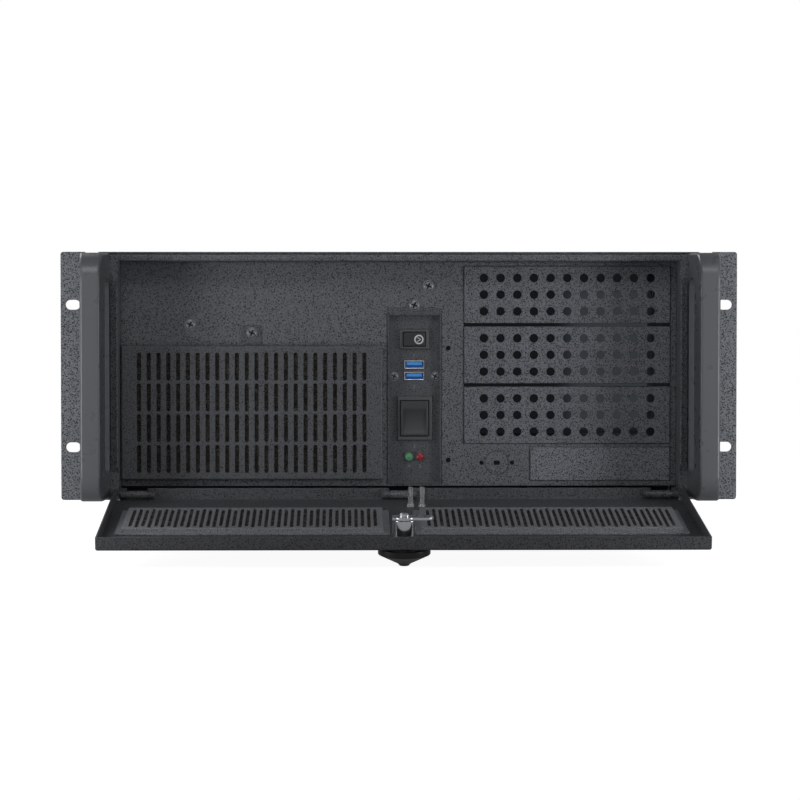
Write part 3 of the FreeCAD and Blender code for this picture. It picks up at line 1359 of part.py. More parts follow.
def lock_cam():
    """The cam plate: a round-ended arm on one side of the core and a short heel on the other."""
    y = (barrel_end() + CAM_GAP, barrel_end() + CAM_GAP + CAM_THICKNESS)
    half = CAM_WIDTH / 2
    hub = rod_y(LOCK_X, LOCK_HEIGHT, BARREL_RADIUS * 0.9, y)
    arm = block((LOCK_X - CAM_HEEL, LOCK_X + CAM_ARM - half), y, (LOCK_HEIGHT - half, LOCK_HEIGHT + half))
    tip = rod_y(LOCK_X + CAM_ARM - half, LOCK_HEIGHT, half, y)
    return hub.fuse([arm, tip]).removeSplitter()


def cam_screw():
    """The screw that holds the cam on the core."""
    back = barrel_end() + CAM_GAP + CAM_THICKNESS
    stations = (
        (0, CAM_SCREW_RADIUS),
        (CAM_SCREW_HEAD * 0.6, CAM_SCREW_RADIUS),
        (CAM_SCREW_HEAD, CAM_SCREW_RADIUS * 0.72),
    )
    return turned(Vector(LOCK_X, back, LOCK_HEIGHT), Vector(0, 1, 0), stations, HEAD_SIDES)


def lock_knob():
    """The turning knob outside the door: a short round edge, a cone and a blunt tip."""
    back = SKIN_OUT - BARREL_FLANGE - KNOB_GAP
    stations = (
        (0, KNOB_RADIUS),
        (KNOB_EDGE, KNOB_RADIUS),
        (KNOB_HEIGHT - KNOB_TIP, KNOB_TIP_RADIUS),
        (KNOB_HEIGHT, KNOB_TIP_RADIUS * 0.7),
    )
    return turned(Vector(LOCK_X, back, LOCK_HEIGHT), Vector(0, -1, 0), stations, KNOB_SIDES)


# The back and the inside of the case

def card_cover(x):
    """One blanking strip over a card slot, bent over at its top for its screw."""
    back = CASE_DEPTH - SHEET - SEAM
    half = CARD_COVER_WIDTH / 2
    top = CARD_LOW + CARD_HEIGHT + SHEET
    strip = block((x - half, x + half), (back - CARD_COVER_SHEET, back), (CARD_LOW - SHEET * 3, top))
    foot = block((x - half, x + half), (back - CARD_COVER_FOOT, back), (top - CARD_COVER_SHEET, top))
    hole = rod_z(x, card_screw_y(), SCREW_RADIUS + SCREW_FIT, (top - SHEET, top + 1))
    return strip.fuse(foot).removeSplitter().cut(hole)


def card_screw_y():
    """How far back the card screws stand."""
    return CASE_DEPTH - SHEET - SEAM - CARD_COVER_FOOT / 2


def card_rail():
    """The angle on the rear wall that the card covers are screwed down to."""
    back = CASE_DEPTH - SHEET - SEAM - CARD_COVER_SHEET - SEAM
    places = card_places()
    x = (places[-1] - CARD_PITCH / 2, places[0] + CARD_PITCH / 2)
    top = CARD_LOW + CARD_HEIGHT + SHEET - CARD_COVER_SHEET - SEAM
    shelf = block(x, (back - CARD_COVER_FOOT, back), (top - SHEET, top))
    front = back - CARD_COVER_FOOT
    apron = block(x, (front, front + SHEET), (top - 2 * COVER_FLANGE / 3, top))
    holes = [rod_z(place, card_screw_y(), SCREW_RADIUS, (top - 2 * SHEET, top + 1)) for place in places]
    return shelf.fuse(apron).removeSplitter().cut(holes)


def card_screws():
    """The seven screws of the card covers."""
    top = CARD_LOW + CARD_HEIGHT + SHEET
    screws = [
        case_screw(Vector(x, card_screw_y(), top), Vector(0, 0, -1), SCREW_LENGTH)
        for x in card_places()
    ]
    return Part.makeCompound(screws)


def supply_shelf():
    """The bent shelf that the power supply stands on."""
    back = CASE_DEPTH - SHEET - SEAM
    x = (SUPPLY_RIGHT - SUPPLY_WIDTH, SUPPLY_RIGHT)
    top = SUPPLY_LOW - SEAM
    shelf = block(x, (back - SUPPLY_DEPTH, back), (SHEET + SEAM, top))
    hollow = block((x[0] + SHEET, x[1] - SHEET), (0, CASE_DEPTH), (0, top - SHEET))
    return shelf.cut(hollow)


def crossbar():
    """The channel that ties the side walls together under the lid."""
    half = BODY_HALF - SHEET - SEAM
    y = (CROSSBAR_Y, CROSSBAR_Y + CROSSBAR_WIDTH)
    bar = block((-half, half), y, (SHELL_TOP - CROSSBAR_DEPTH, SHELL_TOP))
    hollow = block(
        (SHEET - half, half - SHEET),
        (y[0] + SHEET, y[1] - SHEET),
        (0, SHELL_TOP - SHEET),
    )
    return bar.cut(hollow)


def standoffs():
    """Nine hexagon spacers for a motherboard."""
    stations = ((0, STANDOFF_RADIUS), (STANDOFF_HEIGHT, STANDOFF_RADIUS))
    pillars = []
    for column in BOARD_COLUMNS:
        x = BOARD_EDGE_X - BOARD_SIDE_INSET - column
        for row in BOARD_ROWS:
            y = CASE_DEPTH - BOARD_REAR - row
            pillar = turned(Vector(x, y, SHEET), Vector(0, 0, 1), stations, STANDOFF_SIDES)
            pillars.append(pillar.cut(rod_z(x, y, STANDOFF_RADIUS / 2, (2 * SHEET, 2 * STANDOFF_HEIGHT))))
    return Part.makeCompound(pillars)


def cover_screws():
    """Three thumbscrews through the rear flange of the lid."""
    back = CASE_DEPTH + SEAM + SHEET
    height = PANEL_HEIGHT - COVER_FLANGE / 2
    length = 2 * SHEET + SEAM + SHEET
    screws = [
        pan_screw(Vector(x, back, height), Vector(0, -1, 0), (THUMB_RADIUS, THUMB_HEAD), length)
        for x in thumb_places()
    ]
    return Part.makeCompound(screws)


def main():
    """Build every piece and write it as a named node."""
    os.makedirs("parts", exist_ok=True)
    publish("base_tray", base_tray())
    publish("top_cover", top_cover())
    publish("front_frame", front_frame())
    publish("inner_panel", inner_panel())
    for name, side in (("left", -1), ("right", 1)):
        publish("ear_" + name, ear(side))
        publish("handle_" + name, handle(side))
        publish("door_filter_frame_" + name, swing(door_filter_frame(side)))
        publish("door_foam_" + name, swing(door_foam(side)))
    publish("handle_screws", handle_screws())
    publish("ear_screws", ear_screws())
    publish("panel_screws", panel_screws())
    for index in range(BAY_COUNT):
        publish("bay_cover_" + str(index + 1), bay_cover(index))
    publish("small_bay_cover", small_bay_cover())
    publish("drive_cage", drive_cage())
    publish("small_drive_cage", small_drive_cage())
    publish("filter_cover", filter_cover())
    publish("filter_foam", filter_foam())
    publish("filter_cover_screw", filter_cover_screw())
    for index, x in enumerate(fan_places()):
        publish("fan_frame_" + str(index + 1), fan_frame(x))
        publish("fan_rotor_" + str(index + 1), fan_rotor(x))
    publish("control_panel", control_panel())
    reset_size = (RESET_WIDTH, RESET_TALL)
    publish("reset_bezel", bezel(RESET_X, RESET_HEIGHT, reset_size, (ROCKER_WIDTH, ROCKER_TALL)))
    publish("reset_rocker", reset_rocker())
    power_size = (POWER_WIDTH, POWER_TALL)
    publish("power_bezel", bezel(POWER_X, power_middle(), power_size, (PADDLE_WIDTH, PADDLE_TALL)))
    publish("power_paddle", power_paddle())
    publish("usb_port_low", usb_port(USB_LOW))
    publish("usb_port_high", usb_port(USB_HIGH))
    publish("usb_tongues", usb_tongues())
    publish("usb_screws", usb_screws())
    publish("lamp_green", lamp(LAMP_GREEN_X))
    publish("lamp_red", lamp(LAMP_RED_X))
    publish("lamp_holders", lamp_holders())
    publish("door", swing(door()))
    for index, x in enumerate(hinge_places()):
        publish("hinge_bracket_" + str(index + 1), hinge_bracket(x))
    publish("hinge_pins", swing(hinge_pins()))
    publish("light_pipes", swing(light_pipes()))
    publish("lock_barrel", swing(lock_barrel()))
    publish("lock_nut", swing(lock_nut()))
    publish("lock_core", swing(lock_core()))
    publish("lock_cam", swing(lock_cam()))
    publish("cam_screw", swing(cam_screw()))
    publish("lock_knob", swing(lock_knob()))
    publish("card_covers", Part.makeCompound([card_cover(x) for x in card_places()]))
    publish("card_rail", card_rail())
    publish("card_screws", card_screws())
    publish("supply_shelf", supply_shelf())
    publish("crossbar", crossbar())
    publish("standoffs", standoffs())
    publish("cover_screws", cover_screws())


main()
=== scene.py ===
"""Finish, studio and camera for the rackmount server case.

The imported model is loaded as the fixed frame. Each sub-assembly is a class that models its
dressed pieces around the frame's nodes and gives every node its finish. Lengths named _mm are
millimetres; everything else is in metres, in the frame's own axes.
"""
from __future__ import annotations

import json
import logging
import math
from abc import ABC, abstractmethod
from dataclasses import dataclass
from enum import Enum
from typing import Any, Callable

import bpy
from mathutils import Matrix, Vector

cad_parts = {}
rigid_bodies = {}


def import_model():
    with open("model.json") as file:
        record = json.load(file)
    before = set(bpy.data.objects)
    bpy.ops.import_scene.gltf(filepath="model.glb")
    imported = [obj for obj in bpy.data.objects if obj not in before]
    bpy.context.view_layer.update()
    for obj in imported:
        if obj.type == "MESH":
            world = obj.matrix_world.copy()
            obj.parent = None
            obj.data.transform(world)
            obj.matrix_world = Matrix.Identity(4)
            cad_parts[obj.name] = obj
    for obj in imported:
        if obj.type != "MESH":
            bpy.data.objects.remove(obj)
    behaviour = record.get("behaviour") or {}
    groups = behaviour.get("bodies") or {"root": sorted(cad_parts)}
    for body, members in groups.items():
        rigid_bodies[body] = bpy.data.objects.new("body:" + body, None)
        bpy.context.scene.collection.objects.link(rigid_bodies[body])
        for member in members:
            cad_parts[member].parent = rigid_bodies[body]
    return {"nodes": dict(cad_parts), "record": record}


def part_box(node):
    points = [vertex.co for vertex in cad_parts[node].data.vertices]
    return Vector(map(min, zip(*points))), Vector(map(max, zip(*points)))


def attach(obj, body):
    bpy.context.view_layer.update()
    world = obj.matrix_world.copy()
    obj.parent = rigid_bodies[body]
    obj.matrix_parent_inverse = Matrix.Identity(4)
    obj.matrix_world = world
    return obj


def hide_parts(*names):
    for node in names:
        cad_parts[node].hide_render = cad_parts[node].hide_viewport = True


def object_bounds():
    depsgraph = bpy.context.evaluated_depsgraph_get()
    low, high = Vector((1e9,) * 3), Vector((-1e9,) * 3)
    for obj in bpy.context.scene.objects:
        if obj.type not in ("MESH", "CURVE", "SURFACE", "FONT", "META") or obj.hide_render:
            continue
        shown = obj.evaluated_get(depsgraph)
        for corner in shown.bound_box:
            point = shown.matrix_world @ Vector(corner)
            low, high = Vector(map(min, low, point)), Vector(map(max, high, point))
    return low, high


LOG = logging.getLogger("server_case")
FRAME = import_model()
CAD_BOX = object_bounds()
MM = 0.001
MERGE_MM = 0.002
FLAT_DEGREES = 0.5
PRINT_LIFT_MM = 0.03
REPLACED: set[str] = set()
Colour = tuple[float, float, float, float]
WHITE: Colour = (1.0, 1.0, 1.0, 1.0)
# A Map Range node that eases in and out at the ends of its range.
EASED = {"interpolation_type": "SMOOTHSTEP"}
# A Mix node for colours: input 0 is the factor, 6 and 7 are the colours, output 2 is the result.
COLOURS = {"data_type": "RGBA"}


# ---------------------------------------------------------------- colour and node helpers


def to_linear(hex_colour: str) -> Colour:
    """Turn an sRGB hex colour into linear values.

    Args:
        hex_colour: Six hex digits, with or without a leading hash.

    Returns:
        Linear red, green, blue and an alpha of 1.
    """
    digits = hex_colour.lstrip("#")
    channels = [int(digits[index : index + 2], 16) / 255 for index in (0, 2, 4)]
    linear = [value / 12.92 if value <= 0.04045 else ((value + 0.055) / 1.055) ** 2.4 for value in channels]
    return linear[0], linear[1], linear[2], 1.0


def shaded(colour: Colour, share: float) -> Colour:
    """Darken or lighten a linear colour.

    Args:
        colour: The colour.
        share: Factor on each of its channels.

    Returns:
        The changed colour.
    """
    red, green, blue, alpha = colour
    return red * share, green * share, blue * share, alpha


def per_metre(size_mm: float) -> float:
    """The texture scale at which one cell of a pattern is as large as a size in millimetres."""
    return 1.0 / (size_mm * MM)


def blank_tree(owner: bpy.types.Material | bpy.types.World) -> bpy.types.NodeTree:
    """Give a material or the world an empty node tree.

    Args:
        owner: What the tree belongs to.

    Returns:
        Its tree without nodes.
    """
    owner.use_nodes = True
    owner.node_tree.nodes.clear()
    return owner.node_tree


def add_node(
    tree: bpy.types.NodeTree,
    kind: str,
    inputs: dict[int | str, Any] | None = None,
    feeds: bpy.types.NodeSocket | None = None,
    **settings: Any,
) -> bpy.types.Node:
    """Add one node with its settings, values and links.

    Args:
        tree: The node tree that gets the node.
        kind: The node's type name.
        inputs: For each input, by name or number, a value, or the socket it is linked to, or the
            node whose first output it is linked to.
        feeds: The input that takes the new node's first output.
        **settings: Properties of the node itself.

    Returns:
        The new node.
    """
    made = tree.nodes.new(kind)
    for name, value in settings.items():
        setattr(made, name, value)
    for key, value in (inputs or {}).items():
        source = value.outputs[0] if isinstance(value, bpy.types.Node) else value
        if isinstance(source, bpy.types.NodeSocket):
            tree.links.new(source, made.inputs[key])
        else:
            made.inputs[key].default_value = source
    if feeds:
        tree.links.new(made.outputs[0], feeds)
    return made


# ---------------------------------------------------------------- finishes


@dataclass(frozen=True)
class Finish(ABC):
    """A surface finish that builds its node material once.

    Attributes:
        name: The finish in a maker's words.
        slot: The record's material slot; not used.
        colour: Base colour as sRGB hex.
        roughness: Microfacet roughness.
        metallic: 1 for bare metal, otherwise 0.
    """

    name: str
    slot: str
    colour: str
    roughness: float = 0.5
    metallic: float = 0.0

    def material(self) -> bpy.types.Material:
        """Return this finish's material, building it on first use.

        Returns:
            The material that all pieces of this finish share.
        """
        found = bpy.data.materials.get(self.name)
        if found:
            return found
        made = bpy.data.materials.new(self.name)
        made.diffuse_color = to_linear(self.colour)
        tree = blank_tree(made)
        shader = add_node(
            tree,
            "ShaderNodeBsdfPrincipled",
            {"Base Color": to_linear(self.colour), "Roughness": self.roughness, "Metallic": self.metallic},
        )
        self.build(tree, shader, add_node(tree, "ShaderNodeTexCoord").outputs["Object"])
        add_node(tree, "ShaderNodeOutputMaterial", {"Surface": shader})
        return made

    @abstractmethod
    def build(self, tree: bpy.types.NodeTree, shader: bpy.types.Node, place: bpy.types.NodeSocket) -> None:
        """Add the finish's own pattern.

        Args:
            tree: The material's node tree.
            shader: The principled shader.
            place: Object coordinates.
        """

    def gloss(self, low_share: float, high_share: float) -> dict[str, float]:
        """The ends of a pattern's range when it drives the roughness.

        Args:
            low_share: Roughness at the pattern's low end, as a share of the finish's own.
            high_share: Roughness at its high end.

        Returns:
            The two target values of a Map Range node.
        """
        return {"To Min": self.roughness * low_share, "To Max": self.roughness * high_share}


@dataclass(frozen=True)
class PowderCoat(Finish):
    """Polyester powder sprayed and baked on steel: a matt grey grain strewn with dark specks.

    The real grain is a few tenths of a millimetre. Grain and specks are drawn larger, so that
    they show.

    Attributes:
        speck: Colour of the dark specks as sRGB hex.
        cell_mm: Mean distance between specks.
        reach: Radius of a speck as a share of that distance; larger means darker paint.
        blur: Half the soft edge of a speck, as the same share.
        cover: How much of the paint a speck hides.
        grain_mm: Size of the fine grain between the specks.
        grain_shades: Darkest and palest grain as shares of the base colour.
        peel_mm: Depth of the orange peel.
    """

    speck: str = "#131416"
    cell_mm: float = 1.5
    reach: float = 0.31
    blur: float = 0.07
    cover: float = 0.95
    grain_mm: float = 0.55
    grain_shades: tuple[float, float] = (0.6, 1.45)
    peel_mm: float = 0.1

    def build(self, tree: bpy.types.NodeTree, shader: bpy.types.Node, place: bpy.types.NodeSocket) -> None:
        """Lay grain, specks and orange peel over the base colour.

        Args:
            tree: The material's node tree.
            shader: The principled shader.
            place: Object coordinates.
        """
        light = to_linear(self.colour)
        dark_share, pale_share = self.grain_shades
        grain = add_node(
            tree, "ShaderNodeTexNoise", {"Vector": place, "Scale": per_metre(self.grain_mm), "Detail": 1.0}
        )
        shade = add_node(
            tree, "ShaderNodeMapRange", {"Value": grain, "From Min": 0.36, "From Max": 0.64}, **EASED
        )
        base = add_node(
            tree,
            "ShaderNodeMix",
            {0: shade, 6: shaded(light, dark_share), 7: shaded(light, pale_share)},
            **COLOURS,
        )
        cells = add_node(tree, "ShaderNodeTexVoronoi", {"Vector": place, "Scale": per_metre(self.cell_mm)})
        edge = {"From Min": self.reach - self.blur, "From Max": self.reach + self.blur}
        fade = {"To Min": self.cover, "To Max": 0.0}
        specks = add_node(tree, "ShaderNodeMapRange", {"Value": cells, **edge, **fade}, **EASED)
        coat = add_node(
            tree, "ShaderNodeMix", {0: specks, 6: base.outputs[2], 7: to_linear(self.speck)}, **COLOURS
        )
        tree.links.new(coat.outputs[2], shader.inputs["Base Color"])
        peel = add_node(
            tree,
            "ShaderNodeTexNoise",
            {"Vector": place, "Scale": per_metre(self.cell_mm * 0.6), "Detail": 3.0},
        )
        add_node(
            tree,
            "ShaderNodeBump",
            {"Height": peel, "Distance": self.peel_mm * MM, "Strength": 0.45},
            shader.inputs["Normal"],
        )
        add_node(
            tree,
            "ShaderNodeMapRange",
            {"Value": peel, "From Min": 0.3, "From Max": 0.7, **self.gloss(0.85, 1.15)},
            shader.inputs["Roughness"],
            **EASED,
        )


@dataclass(frozen=True)
class MouldedPlastic(Finish):
    """Injection-moulded ABS or nylon: even colour, a fine spark texture and soft gloss.

    A real mould texture is finer than a tenth of a millimetre and is drawn coarser, so that it
    breaks up the gloss.

    Attributes:
        grain_mm: Size of the mould texture.
        depth_mm: Depth of the mould texture.
        cloud_mm: Size of the faint clouds in the gloss.
    """

    grain_mm: float = 0.5
    depth_mm: float = 0.02
    cloud_mm: float = 9.0

    def build(self, tree: bpy.types.NodeTree, shader: bpy.types.Node, place: bpy.types.NodeSocket) -> None:
        """Add the mould texture and a faint cloud in the gloss.

        Args:
            tree: The material's node tree.
            shader: The principled shader.
            place: Object coordinates.
        """
        grain = add_node(
            tree, "ShaderNodeTexNoise", {"Vector": place, "Scale": per_metre(self.grain_mm), "Detail": 2.0}
        )
        add_node(
            tree,
            "ShaderNodeBump",
            {"Height": grain, "Distance": self.depth_mm * MM, "Strength": 0.5},
            shader.inputs["Normal"],
        )
        cloud = add_node(
            tree, "ShaderNodeTexNoise", {"Vector": place, "Scale": per_metre(self.cloud_mm), "Detail": 2.0}
        )
        add_node(
            tree,
            "ShaderNodeMapRange",
            {"Value": cloud, "From Min": 0.3, "From Max": 0.7, **self.gloss(0.9, 1.1)},
            shader.inputs["Roughness"],
            **EASED,
        )


@dataclass(frozen=True)
class ZincSheet(Finish):
    """Hot-dip zinc-coated sheet steel: grey metal with soft spangle.

    Attributes:
        spangle_mm: Width of one zinc crystal.
        dull_share: Shade of the dullest crystal as a share of the base colour.
    """

    spangle_mm: float = 9.0
    dull_share: float = 0.78

    def build(self, tree: bpy.types.NodeTree, shader: bpy.types.Node, place: bpy.types.NodeSocket) -> None:
        """Add crystal cells that vary in shade and gloss.

        Args:
            tree: The material's node tree.
            shader: The principled shader.
            place: Object coordinates.
        """
        scale = per_metre(self.spangle_mm)
        cells = add_node(tree, "ShaderNodeTexVoronoi", {"Vector": place, "Scale": scale})
        shade = add_node(tree, "ShaderNodeRGBToBW", {0: cells.outputs["Color"]})
        bright = to_linear(self.colour)
        skin = add_node(
            tree, "ShaderNodeMix", {0: shade, 6: shaded(bright, self.dull_share), 7: bright}, **COLOURS
        )
        tree.links.new(skin.outputs[2], shader.inputs["Base Color"])
        add_node(
            tree,
            "ShaderNodeMapRange",
            {"Value": shade, "From Min": 0.2, "From Max": 0.8, **self.gloss(0.8, 1.2)},
            shader.inputs["Roughness"],
            **EASED,
        )


@dataclass(frozen=True)
class PlatedMetal(Finish):
    """Plated metal, turned or stamped: fine tool marks in a mirror-like skin.

    Real tool marks are some hundredths of a millimetre apart and are drawn coarser, so that they
    break up what the metal mirrors.

    Attributes:
        mark_mm: Spacing of the tool marks.
        mark_depth_mm: Their depth.
        patch_mm: Size of the patches of duller plating.
    """

    mark_mm: float = 0.35
    mark_depth_mm: float = 0.01
    patch_mm: float = 3.0

    def build(self, tree: bpy.types.NodeTree, shader: bpy.types.Node, place: bpy.types.NodeSocket) -> None:
        """Add fine marks and patchy gloss.

        Args:
            tree: The material's node tree.
            shader: The principled shader.
            place: Object coordinates.
        """
        marks = add_node(
            tree, "ShaderNodeTexNoise", {"Vector": place, "Scale": per_metre(self.mark_mm), "Detail": 1.0}
        )
        add_node(
            tree,
            "ShaderNodeBump",
            {"Height": marks, "Distance": self.mark_depth_mm * MM, "Strength": 0.4},
            shader.inputs["Normal"],
        )
        patches = add_node(
            tree, "ShaderNodeTexNoise", {"Vector": place, "Scale": per_metre(self.patch_mm), "Detail": 2.0}
        )
        add_node(
            tree,
            "ShaderNodeMapRange",
            {"Value": patches, "From Min": 0.3, "From Max": 0.7, **self.gloss(0.7, 1.4)},
            shader.inputs["Roughness"],
            **EASED,
        )


@dataclass(frozen=True)
class FilterFoam(Finish):
    """Reticulated polyurethane foam: an open mesh of dusty struts round pores filled with painted shade.

    Attributes:
        pore_mm: Width of one pore, as in a coarse filter foam.
        dust_mm: Size of the patches that dust makes paler.
        pore: Painted shade down in the pores as sRGB hex.
    """

    pore_mm: float = 1.3
    dust_mm: float = 5.0
    pore: str = "#0d0c0b"

    def build(self, tree: bpy.types.NodeTree, shader: bpy.types.Node, place: bpy.types.NodeSocket) -> None:
        """Draw pores as cells, dark with painted shade in the middle and pale at their walls.

        Args:
            tree: The material's node tree.
            shader: The principled shader.
            place: Object coordinates.
        """
        cells = add_node(
            tree,
            "ShaderNodeTexVoronoi",
            {"Vector": place, "Scale": per_metre(self.pore_mm)},
            feature="DISTANCE_TO_EDGE",
        )
        wall = add_node(
            tree,
            "ShaderNodeMapRange",
            {"Value": cells, "From Min": 0.02, "From Max": 0.22, "To Min": 1.0, "To Max": 0.0},
            **EASED,
        )
        patches = add_node(
            tree, "ShaderNodeTexNoise", {"Vector": place, "Scale": per_metre(self.dust_mm), "Detail": 3.0}
        )
        dust = add_node(
            tree,
            "ShaderNodeMapRange",
            {"Value": patches, "From Min": 0.35, "From Max": 0.65, "To Min": 0.45, "To Max": 1.0},
            **EASED,
        )
        strut = add_node(tree, "ShaderNodeMath", {0: wall, 1: dust}, operation="MULTIPLY")
        foam = add_node(
            tree, "ShaderNodeMix", {0: strut, 6: to_linear(self.pore), 7: to_linear(self.colour)}, **COLOURS
        )
        tree.links.new(foam.outputs[2], shader.inputs["Base Color"])
        add_node(
            tree,
            "ShaderNodeBump",
            {"Height": wall, "Distance": 0.5 * MM, "Strength": 0.9},
            shader.inputs["Normal"],
        )


@dataclass(frozen=True)
class CastResin(Finish):
    """Clear or tinted resin, moulded or cast: light passes, and the skin is a little wavy.

    Attributes:
        clarity: Share of the light that passes straight on.
        ior: The resin's index of refraction.
        haze: Share of the light that scatters inside.
        wave_mm: Size of the waviness.
    """

    clarity: float = 1.0
    ior: float = 1.5
    haze: float = 0.0
    wave_mm: float = 1.0

    def build(self, tree: bpy.types.NodeTree, shader: bpy.types.Node, place: bpy.types.NodeSocket) -> None:
        """Let light through, scatter some of it and leave a trace of waviness.

        Args:
            tree: The material's node tree.
            shader: The principled shader.
            place: Object coordinates.
        """
        shader.inputs["Transmission Weight"].default_value = self.clarity
        shader.inputs["IOR"].default_value = self.ior
        shader.inputs["Subsurface Weight"].default_value = self.haze
        shader.inputs["Subsurface Scale"].default_value = 1.5 * MM
        waves = add_node(
            tree, "ShaderNodeTexNoise", {"Vector": place, "Scale": per_metre(self.wave_mm), "Detail": 1.0}
        )
        add_node(
            tree,
            "ShaderNodeBump",
            {"Height": waves, "Distance": 0.02 * MM, "Strength": 0.3},
            shader.inputs["Normal"],
        )


# The baked powder coat of the sheets: matt, grainy and grey, so light spreads evenly over it.
SHELL_PAINT = PowderCoat("textured_powder_coat", "shell_paint", "#6b6e73", 0.48)
# The bay covers' paint is drawn a little paler than the shell's.
BAY_PAINT = PowderCoat("plain_powder_coat", "shell_paint", "#70737a", 0.48)
# The small bay cover's paler coat is painted light, for the stronger light at the lower right of the front.
SMALL_BAY_PAINT = PowderCoat("powder_coat_painted_light", "shell_paint", "#7d8087", 0.48)
# The ears have the coarsest coat, with specks that nearly touch; their paler base is painted light, as the
# ears catch the most of the side lamps.
EAR_PAINT = PowderCoat("coarse_powder_coat_painted_light", "shell_paint", "#777a80", 0.48, reach=0.36)
# The filter cover's specks are smaller, so it looks more even and darker than the panel.
COVER_PAINT = PowderCoat("even_powder_coat", "shell_paint", "#5b5e62", 0.48, reach=0.27)
# The door's paint is drawn darker than the shell's: painted shade, as the open door's inner side faces up,
# away from the lamps.
DOOR_PAINT = PowderCoat("powder_coat_painted_shade", "shell_paint", "#585a5e", 0.5, reach=0.29)
# The door's filter holders have the smallest specks; their pale base is painted light, which lifts their
# combs out of the door's shade.
GRILLE_PAINT = PowderCoat("fine_powder_coat_painted_light", "shell_paint", "#94979c", 0.45, reach=0.2)
# The control tray's coat is smoother, with soft specks.
CONTROL_PAINT = PowderCoat(
    "satin_black_powder_coat", "control_paint", "#585b60", 0.42, speck="#1b1c1e", reach=0.26
)
# The handles' grey ABS has a satin gloss, which draws a soft light down their fronts.
HANDLE_ABS = MouldedPlastic("moulded_grey_abs", "handle_plastic", "#66696d", 0.3)
# The switches' ABS has a finer mould: rocker, bezels and paddle differ a little in shade.
SWITCH_ABS = MouldedPlastic(
    "moulded_black_abs", "switch_plastic", "#3a3c3f", 0.34, grain_mm=0.3, depth_mm=0.01
)
BEZEL_ABS = MouldedPlastic(
    "moulded_bezel_abs", "switch_plastic", "#5a5d60", 0.4, grain_mm=0.3, depth_mm=0.01
)
PADDLE_ABS = MouldedPlastic(
    "moulded_paddle_abs", "switch_plastic", "#45484b", 0.4, grain_mm=0.3, depth_mm=0.012
)
# The lock's knob is deep black nylon with a dull shine on its rim.
KNOB_NYLON = MouldedPlastic(
    "moulded_black_nylon", "knob_plastic", "#0c0d0e", 0.38, grain_mm=0.4, depth_mm=0.015
)
# The fans' glass-filled PBT is black and rather dull.
FAN_PBT = MouldedPlastic("moulded_black_pbt", "fan_plastic", "#1c1d1f", 0.45)
# The inside is bare zinc-coated sheet, whose crystals vary in brightness.
INNER_ZINC = ZincSheet("zinc_coated_sheet", "inner_steel", "#8d9094", 0.42, 1.0)
# The screws' passivated zinc mirrors softly; the dark cross in a driver's recess is painted shade.
SCREW_ZINC = PlatedMetal("dark_zinc_plate", "screw_steel", "#8c8f94", 0.3, 1.0)
RECESS_SHADE_PAINT = PlatedMetal("painted_shade_black", "screw_steel", "#0b0b0c", 0.6, 0.2)
# Bright nickel on the ports' shells and the cam gives pale edges.
BRIGHT_NICKEL = PlatedMetal("bright_nickel_plate", "port_steel", "#d6d8db", 0.3, 1.0)
# The lock's chrome is the sharpest mirror on the case.
LOCK_CHROME = PlatedMetal("chrome_plated_zinc", "lock_chrome", "#d6d9dc", 0.12, 1.0)
# The spacers are turned brass, yellow and bright.
TURNED_BRASS = PlatedMetal("turned_brass", "standoff_brass", "#c9a85a", 0.3, 1.0)
# Foam looks like a brown-grey net; the door's foam is drawn paler as painted light, against the shade in
# its slots.
FOAM = FilterFoam("reticulated_filter_foam", "foam", "#5c5955", 0.95)
DOOR_FOAM = FilterFoam("filter_foam_painted_light", "foam", "#8c8883", 0.95)
# The light pipes' clear polycarbonate bends what lies behind it.
CLEAR_PIPE = CastResin(
    "clear_polycarbonate", "clear_plastic", "#f2f5f6", 0.06, clarity=0.78, ior=1.585, wave_mm=4.0
)
# The lamps' diffused epoxy scatters light, so its tint shows all over the dome.
GREEN_LENS = CastResin(
    "tinted_green_epoxy", "lamp_green", "#6fbf88", 0.25, clarity=0.15, ior=1.55, haze=0.4, wave_mm=0.8
)
RED_LENS = CastResin(
    "tinted_red_epoxy", "lamp_red", "#d0323f", 0.25, clarity=0.15, ior=1.55, haze=0.4, wave_mm=0.8
)
# The ports' mouldings are blue nylon; the tongue's paler blue is painted light, where it catches the light,
# and the insulator's deeper blue is painted shade.
TONGUE_BLUE = MouldedPlastic(
    "blue_nylon_painted_light", "port_blue", "#5aacf8", 0.3, grain_mm=0.3, depth_mm=0.005
)
PORT_BLUE = MouldedPlastic("blue_nylon_painted_shade", "port_blue", "#2661b6", 0.4, grain_mm=0.3, depth_mm=0.005)
# Screen print is a thin matt film of ink.
PRINT_WHITE = MouldedPlastic(
    "screen_printed_white", "control_paint", "#e4e6e8", 0.5, grain_mm=0.3, depth_mm=0.005
)
PRINT_GREY = MouldedPlastic(
    "screen_printed_grey", "control_paint", "#8b8d90", 0.6, grain_mm=0.3, depth_mm=0.005
)


# ---------------------------------------------------------------- shape tools


class Facing(Enum):
    """The side that a piece faces, as a unit vector out of the case."""

    FRONT = (0.0, -1.0, 0.0)
    REAR = (0.0, 1.0, 0.0)

    @property
    def vector(self) -> Vector:
        """The direction as a vector."""
        return Vector(self.value)


def select_only(*pieces: bpy.types.Object) -> None:
    """Leave edit mode, deselect everything and select these pieces, the first one active.

    Args:
        *pieces: The pieces to select, or none.
    """
    active = bpy.context.view_layer.objects.active
    if active and active.mode != "OBJECT":
        bpy.ops.object.mode_set(mode="OBJECT")
    bpy.ops.object.select_all(action="DESELECT")
    for piece in pieces:
        piece.select_set(True)
    bpy.context.view_layer.objects.active = pieces[0] if pieces else None


def apply_modifier(piece: bpy.types.Object, kind: str, **settings: Any) -> None:
    """Add one modifier with its settings and apply it.

    Args:
        piece: The mesh piece.
        kind: The modifier's type.
        **settings: Properties of the modifier.
    """
    modifier = piece.modifiers.new(kind.title(), kind)
    for name, value in settings.items():
        setattr(modifier, name, value)
    select_only(piece)
    bpy.ops.object.modifier_apply(modifier=modifier.name)


